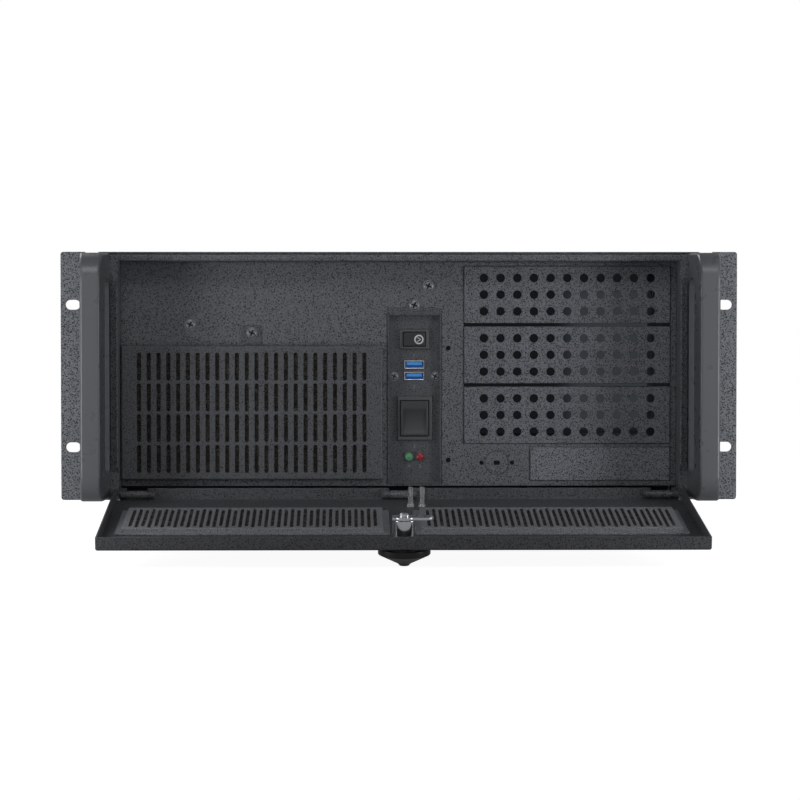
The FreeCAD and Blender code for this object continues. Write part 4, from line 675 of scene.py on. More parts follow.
def join(name: str, pieces: list[bpy.types.Object]) -> bpy.types.Object:
    """Join pieces into one object with its place in its mesh.

    Args:
        name: The joined piece's name.
        pieces: Mesh objects, all of which end up in the first.

    Returns:
        The joined piece.
    """
    select_only(*pieces)
    if len(pieces) > 1:
        bpy.ops.object.join()
    settle(pieces[0])
    pieces[0].name = name
    return pieces[0]


def settle(piece: bpy.types.Object) -> None:
    """Move a piece's place, turn and scale into its mesh."""
    select_only(piece)
    bpy.ops.object.transform_apply(location=True, rotation=True, scale=True)


def merged_copy(node: str) -> bpy.types.Object:
    """Copy a frame node and merge its loose triangles into one closed mesh.

    Args:
        node: The frame node.

    Returns:
        A separate mesh object of the same form.
    """
    mesh = FRAME["nodes"][node].data.copy()
    mesh.materials.clear()
    piece = bpy.data.objects.new(f"{node}_dressed", mesh)
    bpy.context.scene.collection.objects.link(piece)
    select_only(piece)
    if mesh.has_custom_normals:
        bpy.ops.mesh.customdata_custom_splitnormals_clear()
    bpy.ops.object.mode_set(mode="EDIT")
    bpy.ops.mesh.select_all(action="SELECT")
    bpy.ops.mesh.remove_doubles(threshold=MERGE_MM * MM)
    bpy.ops.mesh.beautify_fill(angle_limit=math.radians(FLAT_DEGREES))
    bpy.ops.object.mode_set(mode="OBJECT")
    return piece


def smooth(piece: bpy.types.Object, degrees: float = 32.0) -> None:
    """Shade smooth across every edge that turns by less than an angle, and keep flat sheets flat.

    Args:
        piece: The mesh piece.
        degrees: The angle.
    """
    select_only(piece)
    bpy.ops.object.shade_smooth_by_angle(angle=math.radians(degrees))
    apply_modifier(piece, "WEIGHTED_NORMAL", mode="FACE_AREA", weight=100, keep_sharp=True)


def mesh_box(piece: bpy.types.Object) -> tuple[Vector, Vector]:
    """The low and high corner of a piece's mesh.

    Args:
        piece: The mesh piece.

    Returns:
        Its lowest and its highest corner.
    """
    places = [vertex.co for vertex in piece.data.vertices]
    low = Vector(min(place[axis] for place in places) for axis in range(3))
    high = Vector(max(place[axis] for place in places) for axis in range(3))
    return low, high


def soften(piece: bpy.types.Object, width_mm: float, degrees: float = 40.0) -> None:
    """Round every sharp edge, as paint, rolling or moulding leaves it, and stay in the old box.

    Args:
        piece: The mesh piece.
        width_mm: Width of the rounding.
        degrees: Edges that turn by more than this are rounded.
    """
    low, high = mesh_box(piece)
    apply_modifier(
        piece,
        "BEVEL",
        width=width_mm * MM,
        segments=2,
        limit_method="ANGLE",
        angle_limit=math.radians(degrees),
        use_clamp_overlap=False,
        loop_slide=False,
        miter_outer="MITER_ARC",
    )
    for vertex in piece.data.vertices:
        vertex.co = Vector(min(max(vertex.co[axis], low[axis]), high[axis]) for axis in range(3))
    smooth(piece)


def cut_out(piece: bpy.types.Object, cutter: bpy.types.Object) -> None:
    """Cut a form out of a piece and remove the cutter."""
    apply_modifier(piece, "BOOLEAN", operation="DIFFERENCE", object=cutter, solver="EXACT")
    bpy.data.objects.remove(cutter)


def dress(piece: bpy.types.Object, finish: Finish) -> None:
    """Give a piece a single finish."""
    piece.data.materials.clear()
    piece.data.materials.append(finish.material())


def body_of(node: str) -> str:
    """The body that a frame node rides on."""
    bodies = FRAME["record"]["behaviour"]["bodies"]
    return next(body for body, members in bodies.items() if node in members)


def stand_for(piece: bpy.types.Object, finish: Finish, *nodes: str) -> bpy.types.Object:
    """Dress a piece, let it ride with the nodes it stands for and hide those nodes.

    Args:
        piece: The finished mesh.
        finish: Its finish.
        *nodes: Frame nodes that the piece replaces.

    Returns:
        The piece.
    """
    dress(piece, finish)
    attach(piece, body_of(nodes[0]))
    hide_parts(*nodes)
    REPLACED.update(nodes)
    return piece


def trim(piece: bpy.types.Object, finish: Finish, body: str) -> bpy.types.Object:
    """Dress a small added piece and let it ride on a body.

    Args:
        piece: The finished mesh.
        finish: Its finish.
        body: The body.

    Returns:
        The piece.
    """
    dress(piece, finish)
    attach(piece, body)
    return piece


def solid_boxes(node: str) -> list[tuple[Vector, Vector]]:
    """The lowest and highest corners of each separate solid in a node.

    Args:
        node: The frame node.

    Returns:
        One box for each solid, ordered by X and then by Z.
    """
    mesh = FRAME["nodes"][node].data
    keys = [tuple(round(value / (MERGE_MM * MM)) for value in vertex.co) for vertex in mesh.vertices]
    parent = {key: key for key in keys}

    def root(key: tuple[int, ...]) -> tuple[int, ...]:
        """Follow a key to its group's head.

        Args:
            key: A rounded place in the mesh.

        Returns:
            The key that stands for its group.
        """
        while parent[key] != key:
            parent[key] = parent[parent[key]]
            key = parent[key]
        return key

    for polygon in mesh.polygons:
        first = root(keys[polygon.vertices[0]])
        for index in polygon.vertices[1:]:
            parent[root(keys[index])] = first
    groups: dict[tuple[int, ...], list[Vector]] = {}
    for key, vertex in zip(keys, mesh.vertices):
        groups.setdefault(root(key), []).append(vertex.co)
    boxes = [
        (Vector(map(min, zip(*points))), Vector(map(max, zip(*points))))
        for points in groups.values()
    ]
    return sorted(boxes, key=lambda box: (round(box[0].x, 4), round(box[0].z, 4)))


def add_cube(low: Vector, high: Vector) -> bpy.types.Object:
    """Add a box between two corners as the start of a piece.

    Args:
        low: Its lowest corner.
        high: Its highest corner.

    Returns:
        The box.
    """
    select_only()
    bpy.ops.mesh.primitive_cube_add(size=1.0, location=(low + high) / 2)
    made = bpy.context.object
    made.scale = high - low
    settle(made)
    return made


def add_rod(
    middle: Vector, facing: Facing, radius_mm: float, length_mm: float, sides: int = 32
) -> bpy.types.Object:
    """Add a round rod as the start of a piece.

    Args:
        middle: Its middle.
        facing: The direction of its axis.
        radius_mm: Its radius.
        length_mm: Its length.
        sides: Faces round it.

    Returns:
        The rod.
    """
    select_only()
    bpy.ops.mesh.primitive_cylinder_add(
        vertices=sides,
        radius=radius_mm * MM,
        depth=length_mm * MM,
        location=middle,
        rotation=facing.vector.to_track_quat("Z", "Y").to_euler(),
    )
    made = bpy.context.object
    settle(made)
    return made


def shift(piece: bpy.types.Object, chosen: Callable[[Vector], bool], step: Vector) -> None:
    """Move some of a piece's vertices in edit mode.

    Args:
        piece: The mesh piece.
        chosen: Says of a vertex's place whether it moves.
        step: How far it moves.
    """
    select_only(piece)
    bpy.ops.object.mode_set(mode="EDIT")
    bpy.ops.mesh.select_mode(type="VERT")
    bpy.ops.mesh.select_all(action="DESELECT")
    bpy.ops.object.mode_set(mode="OBJECT")
    for vertex in piece.data.vertices:
        vertex.select = chosen(vertex.co)
    bpy.ops.object.mode_set(mode="EDIT")
    bpy.ops.transform.translate(value=step)
    bpy.ops.object.mode_set(mode="OBJECT")


def repeat(name: str, model: bpy.types.Object, places: list[Vector]) -> bpy.types.Object:
    """Copy a piece modelled at the origin to each place and join the copies.

    Args:
        name: The joined piece's name.
        model: The modelled piece, which is used up.
        places: Where the copies go.

    Returns:
        The joined piece.
    """
    copies = []
    for place in places:
        copy = model.copy()
        copy.data = model.data.copy()
        copy.location = place
        bpy.context.scene.collection.objects.link(copy)
        copies.append(copy)
    bpy.data.objects.remove(model)
    return join(name, copies)


def grid(middle: Vector, columns: int, rows: int, pitch_x_mm: float, pitch_z_mm: float) -> list[Vector]:
    """Places of a pattern of rows and columns that faces the front.

    Args:
        middle: Middle of the pattern.
        columns: Places across.
        rows: Places up.
        pitch_x_mm: Step from column to column.
        pitch_z_mm: Step from row to row.

    Returns:
        The places, column by column.
    """
    return [
        middle
        + Vector(((column - (columns - 1) / 2) * pitch_x_mm, 0.0, (row - (rows - 1) / 2) * pitch_z_mm)) * MM
        for column in range(columns)
        for row in range(rows)
    ]


# ---------------------------------------------------------------- plain sheet and moulded parts


@dataclass
class CarriedPart:
    """A frame node whose form is right: a merged copy with rounded edges and its finish.

    Attributes:
        node: The frame node.
        finish: Its finish.
        edge_mm: Width of the rounding on sharp edges, or 0 to leave them.
        turn_degrees: Edges that turn by more than this are rounded.
    """

    node: str
    finish: Finish
    edge_mm: float = 0.35
    turn_degrees: float = 40.0

    def build(self) -> bpy.types.Object:
        """Make the dressed copy that stands for the node.

        Returns:
            The dressed copy.
        """
        piece = merged_copy(self.node)
        if self.edge_mm:
            soften(piece, self.edge_mm, degrees=self.turn_degrees)
        else:
            smooth(piece)
        return stand_for(piece, self.finish, self.node)


# ---------------------------------------------------------------- screws


@dataclass
class ScrewSet:
    """Equal pan-head screws with a cross recess, one for each solid of a frame node.

    Attributes:
        node: The frame node with the screws as separate solids.
        facing: The side that the heads face.
        head_mm: Height of a head.
        flange_mm: Thickness of the flange under the head.
        shank_mm: Largest radius of the shank.
        shank_share: Largest radius of the shank as a share of the flange's.
        dome_share: Radius of the domed part as a share of the flange's.
        bulge_share: Rounding of the dome as a share of the head's height.
        recess_mm: Depth of the cross recess.
        cross_share: Half the length of a blade as a share of the dome's radius.
        blade_share: Half the thickness of a blade as a share of the dome's radius.
        turn_degrees: How far the cross is turned.
        floor_share: Size of the cross of painted shade as a share of the recess.
        floor_thick_share: Its thickness as a share of the recess cutter's.
        floor_depth_share: Its depth as a share of the recess's.
    """

    node: str
    facing: Facing
    head_mm: float = 2.1
    flange_mm: float = 0.7
    shank_mm: float = 1.85
    shank_share: float = 0.6
    dome_share: float = 0.84
    bulge_share: float = 0.4
    recess_mm: float = 1.6
    cross_share: float = 0.66
    blade_share: float = 0.17
    turn_degrees: float = 24.0
    floor_share: float = 0.98
    floor_thick_share: float = 0.1
    floor_depth_share: float = 0.5

    def build(self) -> bpy.types.Object:
        """Model one screw, copy it to each solid's place and paint shade into the recesses.

        Returns:
            The dressed screws as one piece.
        """
        boxes = solid_boxes(self.node)
        size = boxes[0][1] - boxes[0][0]
        radius_mm = max(size.x, size.z) / 2 / MM
        out = self.facing.vector
        tops = [(low + high) / 2 + out * size.y / 2 for low, high in boxes]
        piece = repeat(f"{self.node}_dressed", self.screw(radius_mm, size.y / MM), tops)
        smooth(piece, 40)
        # A dark cross of painted shade goes in each recess.
        shade_crosses = repeat(f"{self.node}_recess_floors", self.painted_recess_shade(radius_mm), tops)
        trim(shade_crosses, RECESS_SHADE_PAINT, body_of(self.node))
        return stand_for(piece, SCREW_ZINC, self.node)

    def screw(self, radius_mm: float, length_mm: float) -> bpy.types.Object:
        """One screw with the top of its head at the origin.

        Args:
            radius_mm: Radius of the flange.
            length_mm: Length of the whole screw.

        Returns:
            Head, flange and shank as one mesh.
        """
        out = self.facing.vector
        head = add_rod(-out * self.head_mm * MM / 2, self.facing, radius_mm * self.dome_share, self.head_mm)
        apply_modifier(
            head,
            "BEVEL",
            width=self.head_mm * self.bulge_share * MM,
            segments=4,
            limit_method="ANGLE",
            angle_limit=math.radians(60),
        )
        cut_out(head, self.recess(radius_mm * self.dome_share))
        flange_middle = -out * (self.head_mm - self.flange_mm / 2) * MM
        flange = add_rod(flange_middle, self.facing, radius_mm, self.flange_mm)
        shank_length_mm = length_mm - self.head_mm
        shank_middle = -out * (self.head_mm + shank_length_mm / 2) * MM
        shank_radius_mm = min(self.shank_mm, radius_mm * self.shank_share)
        shank = add_rod(shank_middle, self.facing, shank_radius_mm, shank_length_mm, 16)
        return join("screw", [head, flange, shank])

    def recess(self, radius_mm: float) -> bpy.types.Object:
        """The cross-shaped driver recess as a cutter round the origin.

        Args:
            radius_mm: Radius of the dome.

        Returns:
            A cross of two blades, turned as a driver left it.
        """
        long, thin = radius_mm * self.cross_share, radius_mm * self.blade_share
        blades = []
        for across, up in ((long, thin), (thin, long)):
            corner = Vector((across, self.recess_mm, up)) * MM
            blades.append(add_cube(-corner, corner))
        apply_modifier(blades[0], "BOOLEAN", operation="UNION", object=blades[1], solver="EXACT")
        bpy.data.objects.remove(blades[1])
        blades[0].rotation_euler.y = math.radians(self.turn_degrees)
        settle(blades[0])
        return blades[0]

    def painted_recess_shade(self, radius_mm: float) -> bpy.types.Object:
        """A dark cross of painted shade in a recess, for a head whose top is at the origin.

        Args:
            radius_mm: Radius of the flange.

        Returns:
            A thin cross of painted shade, drawn well above the recess's real floor so that it shows.
        """
        floor = self.recess(radius_mm * self.dome_share)
        floor.scale = (self.floor_share, self.floor_thick_share, self.floor_share)
        floor.location = -self.facing.vector * self.recess_mm * self.floor_depth_share * MM
        settle(floor)
        return floor


# ---------------------------------------------------------------- drive bay covers


@dataclass
class BayCovers:
    """The perforated covers of the three large bays and the plain one of the small bay.

    Attributes:
        hole_mm: Width of a hole.
        punch_mm: How much wider its round punch is, so that it clears the model's flats.
        punch_length_mm: Length of a punch.
        pitch_mm: Step from hole to hole, both ways.
        columns: Holes across a cover.
        rows: Holes up a cover.
        edge_mm: Rounding of the edges.
        nodes: The large covers.
    """

    hole_mm: float = 6.0
    punch_mm: float = 0.04
    punch_length_mm: float = 5.0
    pitch_mm: float = 12.03
    columns: int = 11
    rows: int = 3
    edge_mm: float = 0.45
    nodes: tuple[str, ...] = ("bay_cover_1", "bay_cover_2", "bay_cover_3")

    def build(self) -> None:
        """Round the holes of each cover, soften its edges and dress it."""
        for node in self.nodes:
            piece = merged_copy(node)
            cut_out(piece, self.punches(node))
            soften(piece, self.edge_mm)
            stand_for(piece, BAY_PAINT, node)
        CarriedPart("small_bay_cover", SMALL_BAY_PAINT, self.edge_mm).build()

    def punches(self, node: str) -> bpy.types.Object:
        """Round punches for a cover's holes.

        Args:
            node: The cover's frame node.

        Returns:
            All punches as one cutter.
        """
        low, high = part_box(node)
        middle = Vector(((low.x + high.x) / 2, low.y, (low.z + high.z) / 2))
        radius_mm = (self.hole_mm + self.punch_mm) / 2
        punch = add_rod(Vector(), Facing.FRONT, radius_mm, self.punch_length_mm, 24)
        return repeat("punches", punch, grid(middle, self.columns, self.rows, self.pitch_mm, self.pitch_mm))


# ---------------------------------------------------------------- fan filter cover


@dataclass
class FilterCover:
    """The slotted lid over the fans: long slots with round ends and a screw tab on top.

    Attributes:
        slot_mm: Width of a slot.
        slot_length_mm: Its length over the round ends.
        columns: Slots across.
        rows: Slots up.
        pitch_x_mm: Step from column to column.
        pitch_z_mm: Step from row to row.
        body_mm: Width and height of the lid without its tab.
        wall_mm: Thickness of the sheet.
        rim_mm: Rounding of the front rim.
        tab_mm: Width of the tab.
        tab_hole_mm: Width of the tab's hole.
        tab_hole_rise_mm: Height of that hole above the lid.
        edge_mm: Rounding of the edges.
        node: The frame node.
    """

    slot_mm: float = 3.0
    slot_length_mm: float = 20.1
    columns: int = 24
    rows: int = 4
    pitch_x_mm: float = 7.03
    pitch_z_mm: float = 22.1
    body_mm: tuple[float, float] = (188.0, 96.5)
    wall_mm: float = 1.2
    rim_mm: float = 1.5
    tab_mm: float = 12.7
    tab_hole_mm: float = 4.1
    tab_hole_rise_mm: float = 9.0
    edge_mm: float = 0.3
    node: str = "filter_cover"

    def build(self) -> bpy.types.Object:
        """Fold the lid, punch its slots, add the tab and dress it.

        Returns:
            The dressed cover.
        """
        low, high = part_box(self.node)
        lid = self.lid(low, high)
        cut_out(lid, self.punches(low))
        tab = self.tab(low, high)
        apply_modifier(lid, "BOOLEAN", operation="UNION", object=tab, solver="EXACT")
        bpy.data.objects.remove(tab)
        lid.name = f"{self.node}_dressed"
        soften(lid, self.edge_mm)
        return stand_for(lid, COVER_PAINT, self.node)

    def lid(self, low: Vector, high: Vector) -> bpy.types.Object:
        """A folded lid with a round front rim, open at the back.

        Args:
            low: Lowest corner of the cover.
            high: Highest corner of the cover.

        Returns:
            The lid without slots.
        """
        wall = self.wall_mm * MM
        top = low.z + self.body_mm[1] * MM
        shell = add_cube(low, Vector((high.x, high.y, top)))
        bpy.ops.object.mode_set(mode="EDIT")
        bpy.ops.mesh.select_all(action="DESELECT")
        bpy.ops.object.mode_set(mode="OBJECT")
        for edge in shell.data.edges:
            ends = [shell.data.vertices[index].co for index in edge.vertices]
            edge.select = all(abs(end.y - low.y) < MM / 10 for end in ends)
        bpy.ops.object.mode_set(mode="EDIT")
        bpy.ops.mesh.select_mode(type="EDGE")
        bpy.ops.mesh.bevel(offset=self.rim_mm * MM, segments=4)
        bpy.ops.object.mode_set(mode="OBJECT")
        inset = Vector((wall, wall, wall))
        hollow = add_cube(low + inset, Vector((high.x - wall, high.y + wall, top - wall)))
        cut_out(shell, hollow)
        return shell

    def tab(self, low: Vector, high: Vector) -> bpy.types.Object:
        """The screw tab above the lid, with its hole.

        Args:
            low: Lowest corner of the cover.
            high: Highest corner of the cover.

        Returns:
            The tab, which reaches into the lid's top wall.
        """
        wall = self.wall_mm * MM
        middle = (low.x + high.x) / 2
        half = self.tab_mm / 2 * MM
        bottom = low.z + (self.body_mm[1] - self.wall_mm) * MM
        corner = Vector((middle - half, high.y - wall, bottom))
        tab = add_cube(corner, Vector((middle + half, high.y, high.z)))
        hole = Vector((middle, high.y, low.z + (self.body_mm[1] + self.tab_hole_rise_mm) * MM))
        cut_out(tab, add_rod(hole, Facing.FRONT, self.tab_hole_mm / 2, 4 * self.wall_mm, 24))
        return tab

    def punches(self, low: Vector) -> bpy.types.Object:
        """All slot punches as one cutter: rods drawn out to boxes with half-round ends.

        Args:
            low: Lowest corner of the cover.

        Returns:
            The cutter.
        """
        middle = low + Vector((self.body_mm[0] / 2, 0.0, self.body_mm[1] / 2)) * MM
        places = grid(middle, self.columns, self.rows, self.pitch_x_mm, self.pitch_z_mm)
        punch = add_rod(Vector(), Facing.FRONT, self.slot_mm / 2, 3 * self.wall_mm, 14)
        reach = Vector((0.0, 0.0, (self.slot_length_mm - self.slot_mm) / 2 * MM))
        shift(punch, lambda place: place.z > MM / 100, reach)
        shift(punch, lambda place: place.z < -MM / 100, -reach)
        return repeat("punches", punch, places)


# ---------------------------------------------------------------- control panel


@dataclass
class ControlPanel:
    """The folded control tray with its switches, ports, lamps and small print.

    Attributes:
        edge_mm: Rounding of the tray's edges.
        rocker_edge_mm: Rounding of the reset rocker's edges.
        bezel_edge_mm: Rounding of the bezels' and the paddle's edges.
        shell_edge_mm: Rounding of the ports' shells.
        small_edge_mm: Rounding of tongues and lamp holders.
        print_mm: Height of the numerals.
        line_share: Height of a line of print as a share of a numeral's.
        ink_mm: Thickness of the print.
        mark_place_mm: The rocker's mark, across the case and above its underside.
        ring_mm: Radius of the mark's ring.
        ring_line_mm: Half the width of the ring's line.
        ring_flat_share: How flat the ring's round line is pressed.
        arm_mm: Half the length, width and thickness of an arm of the arrowhead.
        arm_degrees: How far each arm leans.
        arm_place_mm: Middle of the upper arm from the ring's middle.
        port_wall_mm: Thickness of a port's shell.
        insulator_depth_mm: How far back in a port its blue moulding starts.
        insulator_mm: Thickness of that moulding.
        lens_mm: Radius of a lamp's dome.
        dome_mm: Height of the dome.
        stem_gap_mm: How much shorter the lamp's stem is than the lamp.
        numerals: Each numeral with its middle across the case and above its underside.
    """

    edge_mm: float = 0.3
    rocker_edge_mm: float = 0.5
    bezel_edge_mm: float = 0.25
    shell_edge_mm: float = 0.2
    small_edge_mm: float = 0.15
    print_mm: float = 2.6
    line_share: float = 1.4
    ink_mm: float = 0.01
    mark_place_mm: tuple[float, float] = (14.4, 114.2)
    ring_mm: float = 2.9
    ring_line_mm: float = 0.5
    ring_flat_share: float = 0.12
    arm_mm: tuple[float, float, float] = (1.5, 0.27, 0.04)
    arm_degrees: float = 33.0
    arm_place_mm: tuple[float, float] = (0.1, 0.75)
    port_wall_mm: float = 0.45
    insulator_depth_mm: float = 2.2
    insulator_mm: float = 1.0
    lens_mm: float = 2.9
    dome_mm: float = 1.5
    stem_gap_mm: float = 1.0
    numerals: tuple[tuple[str, float, float], ...] = (
        ("1", 11.1, 102.8),
        ("2", 11.1, 80.0),
        ("3", 11.1, 37.0),
        ("4", 7.3, 22.6),
        ("5", 15.4, 22.6),
    )

    def build(self) -> None:
        """Dress the tray and everything in it."""
        panel = CarriedPart("control_panel", CONTROL_PAINT, self.edge_mm).build()
        for node in ("reset_bezel", "power_bezel"):
            CarriedPart(node, BEZEL_ABS, self.bezel_edge_mm).build()
        rocker = CarriedPart("reset_rocker", SWITCH_ABS, self.rocker_edge_mm).build()
        CarriedPart("power_paddle", PADDLE_ABS, self.bezel_edge_mm).build()
        ports = ("usb_port_low", "usb_port_high")
        for node in ports:
            CarriedPart(node, BRIGHT_NICKEL, self.shell_edge_mm).build()
        CarriedPart("usb_tongues", TONGUE_BLUE, self.small_edge_mm).build()
        for node in ports:
            self.insulator(node)
        ScrewSet("usb_screws", Facing.FRONT).build()
        self.lens("lamp_green", GREEN_LENS)
        self.lens("lamp_red", RED_LENS)
        CarriedPart("lamp_holders", BEZEL_ABS, self.small_edge_mm).build()
        for text, x_mm, height_mm in self.numerals:
            self.numeral(panel, text, x_mm, height_mm)
        self.reset_mark(rocker)

    def insulator(self, node: str) -> bpy.types.Object:
        """The blue moulding that closes a port behind the tip of its tongue.

        Args:
            node: The port's frame node.

        Returns:
            The dressed moulding.
        """
        low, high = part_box(node)
        wall = Vector((self.port_wall_mm, 0.0, self.port_wall_mm)) * MM
        front = low.y + self.insulator_depth_mm * MM
        back = front + self.insulator_mm * MM
        block = add_cube(Vector((low.x, front, low.z)) + wall, Vector((high.x, back, high.z)) - wall)
        block.name = f"{node}_insulator"
        return trim(block, PORT_BLUE, "case")

    def lens(self, node: str, finish: Finish) -> bpy.types.Object:
        """A lamp's domed lens, whose skirt covers the mouth of its holder.

        Args:
            node: The lamp's frame node.
            finish: Its tinted resin.

        Returns:
            The dressed lamp.
        """
        low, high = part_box(node)
        middle = (low + high) / 2
        size_mm = (high - low) / MM
        stem = add_rod(middle, Facing.FRONT, size_mm.x / 2, size_mm.y - self.stem_gap_mm, 24)
        select_only()
        bpy.ops.mesh.primitive_uv_sphere_add(segments=32, ring_count=16, radius=self.lens_mm * MM)
        dome = bpy.context.object
        bpy.ops.object.mode_set(mode="EDIT")
        bpy.ops.mesh.select_all(action="SELECT")
        bpy.ops.mesh.bisect(
            plane_co=(0.0, 0.0, 0.0), plane_no=(0.0, 1.0, 0.0), use_fill=True, clear_outer=True
        )
        bpy.ops.object.mode_set(mode="OBJECT")
        dome.scale.y = self.dome_mm / self.lens_mm
        dome.location = (middle.x, low.y + self.dome_mm * MM, middle.z)
        piece = join(f"{node}_dressed", [dome, stem])
        smooth(piece, 40)
        return stand_for(piece, finish, node)

    def numeral(self, panel: bpy.types.Object, text: str, x_mm: float, height_mm: float) -> None:
        """Screen-print one plain numeral on the tray.

        Args:
            panel: The dressed tray.
            text: The numeral.
            x_mm: Its middle across the case.
            height_mm: Its middle above the underside of the case.
        """
        select_only()
        bpy.ops.object.text_add()
        label = bpy.context.object
        label.data.body = text
        label.data.size = self.print_mm * MM * self.line_share
        label.data.extrude = self.ink_mm * MM
        label.data.align_x = "CENTER"
        label.data.align_y = "CENTER"
        bpy.ops.object.convert(target="MESH")
        label = bpy.context.object
        label.name = f"numeral_{text}"
        spot, normal = surface_point(panel, x_mm, height_mm)
        lay_on(label, spot, normal)
        trim(label, PRINT_GREY, "case")

    def reset_mark(self, rocker: bpy.types.Object) -> None:
        """Print a plain ring with an arrowhead on the rocker's low face.

        Args:
            rocker: The dressed rocker.
        """
        select_only()
        bpy.ops.mesh.primitive_torus_add(
            major_radius=self.ring_mm * MM,
            minor_radius=self.ring_line_mm * MM,
            major_segments=48,
            minor_segments=8,
        )
        ring = bpy.context.object
        ring.scale.z = self.ring_flat_share
        settle(ring)
        corner = Vector(self.arm_mm) * MM
        across_mm, up_mm = self.arm_place_mm
        arms = []
        for turn in (-1, 1):
            arm = add_cube(-corner, corner)
            arm.rotation_euler.z = turn * math.radians(self.arm_degrees)
            arm.location = Vector((across_mm, -turn * up_mm, 0.0)) * MM
            arms.append(arm)
        mark = join("reset_mark", [ring, *arms])
        spot, normal = surface_point(rocker, *self.mark_place_mm)
        lay_on(mark, spot, normal)
        trim(mark, PRINT_WHITE, "reset_switch")


def surface_point(piece: bpy.types.Object, x_mm: float, height_mm: float) -> tuple[Vector, Vector]:
    """The front surface of a piece at a place on the case's front.

    Args:
        piece: The piece whose surface is found.
        x_mm: Place across the case.
        height_mm: Place above the underside of the case.

    Returns:
        The point and the surface's normal there.
    """
    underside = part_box("ear_left")[0].z
    start = Vector((x_mm * MM, -1.0, underside + height_mm * MM))
    _, spot, normal, _ = piece.ray_cast(start, Vector((0.0, 1.0, 0.0)))
    return spot, normal


def lay_on(print_piece: bpy.types.Object, spot: Vector, normal: Vector) -> None:
    """Lay a flat print drawn in the XY plane on a surface that faces the front.

    Args:
        print_piece: The print.
        spot: Where its middle goes.
        normal: The surface's normal there.
    """
    turn = normal.to_track_quat("Z", "Y").to_matrix().to_4x4()
    print_piece.data.transform(Matrix.Translation(spot + normal * PRINT_LIFT_MM * MM) @ turn)


# ---------------------------------------------------------------- door, lock and light pipes


@dataclass
class Door:
    """The folded door with its filter frames, foams, hinge pins, lock and light pipes.

    Attributes:
        edge_mm: Rounding of folded sheet and of the lock's body.
        foam_edge_mm: Rounding of the foam sheets.
        turned_edge_mm: Rounding of small turned or moulded parts.
        cam_edge_mm: Rounding of the stamped cam.
        knob_edge_mm: Rounding of the knob.
        knob_turn_degrees: Edges of the knob that turn by more than this are rounded.
    """

    edge_mm: float = 0.25
    foam_edge_mm: float = 0.3
    turned_edge_mm: float = 0.15
    cam_edge_mm: float = 0.2
    knob_edge_mm: float = 0.4
    knob_turn_degrees: float = 50.0

    def build(self) -> None:
        """Dress all that swings with the door and the hinge brackets that carry it."""
        CarriedPart("door", DOOR_PAINT, self.edge_mm).build()
        for side in ("left", "right"):
            CarriedPart(f"door_filter_frame_{side}", GRILLE_PAINT, self.edge_mm).build()
            CarriedPart(f"door_foam_{side}", DOOR_FOAM, self.foam_edge_mm).build()
        CarriedPart("hinge_pins", SCREW_ZINC, self.turned_edge_mm).build()
        CarriedPart("light_pipes", CLEAR_PIPE, self.turned_edge_mm).build()
        for node in ("lock_barrel", "lock_nut"):
            CarriedPart(node, LOCK_CHROME, self.edge_mm).build()
        CarriedPart("lock_core", LOCK_CHROME, self.turned_edge_mm).build()
        CarriedPart("lock_cam", BRIGHT_NICKEL, self.cam_edge_mm).build()
        CarriedPart("cam_screw", BRIGHT_NICKEL, self.turned_edge_mm).build()
        CarriedPart("lock_knob", KNOB_NYLON, self.knob_edge_mm, self.knob_turn_degrees).build()
        for index in (1, 2, 3):
            CarriedPart(f"hinge_bracket_{index}", SHELL_PAINT, self.edge_mm).build()


# ---------------------------------------------------------------- shell, handles and what is inside


@dataclass
class Shell:
    """The folded case, its ears, panels and handles.

    Attributes:
        edge_mm: Rounding of the sheets' edges.
        door_side_edge_mm: Rounding of the front's edges, tight enough for the closed door.
        screw_edge_mm: Rounding of the ears' screws.
    """

    edge_mm: float = 0.35
    door_side_edge_mm: float = 0.25
    screw_edge_mm: float = 0.2

    def build(self) -> None:
        """Dress the sheets and the handles."""
        for node in ("base_tray", "top_cover", "inner_panel"):
            CarriedPart(node, SHELL_PAINT, self.edge_mm).build()
        CarriedPart("front_frame", SHELL_PAINT, self.door_side_edge_mm).build()
        for node in ("ear_left", "ear_right"):
            CarriedPart(node, EAR_PAINT, self.edge_mm).build()
        for node in ("handle_left", "handle_right"):
            CarriedPart(node, HANDLE_ABS, 0.0).build()
        for node in ("panel_screws", "filter_cover_screw"):
            ScrewSet(node, Facing.FRONT).build()
        ScrewSet("handle_screws", Facing.REAR).build()
        CarriedPart("ear_screws", SCREW_ZINC, self.screw_edge_mm).build()


@dataclass
class Inside:
    """What the openings, the holes and the rear show of the inside.

    Attributes:
        edge_mm: Rounding of thin sheet, rotor blades and small hardware.
        soft_edge_mm: Rounding of the fan frames and the foam.
        sheets: Nodes of bare zinc-coated sheet.
    """

    edge_mm: float = 0.2
    soft_edge_mm: float = 0.3
    sheets: tuple[str, ...] = (
        "drive_cage",
        "small_drive_cage",
        "supply_shelf",
        "crossbar",
        "card_covers",
        "card_rail",
    )

    def build(self) -> None:
        """Dress the cages, fans, foam, shelf, card covers and small hardware."""
        for node in self.sheets:
            CarriedPart(node, INNER_ZINC, self.edge_mm).build()
        for index in (1, 2):
            CarriedPart(f"fan_frame_{index}", FAN_PBT, self.soft_edge_mm).build()
            CarriedPart(f"fan_rotor_{index}", FAN_PBT, self.edge_mm).build()
        CarriedPart("filter_foam", FOAM, self.soft_edge_mm).build()
        CarriedPart("standoffs", TURNED_BRASS, self.edge_mm).build()
        for node in ("card_screws", "cover_screws"):
            CarriedPart(node, SCREW_ZINC, self.edge_mm).build()


# ---------------------------------------------------------------- studio


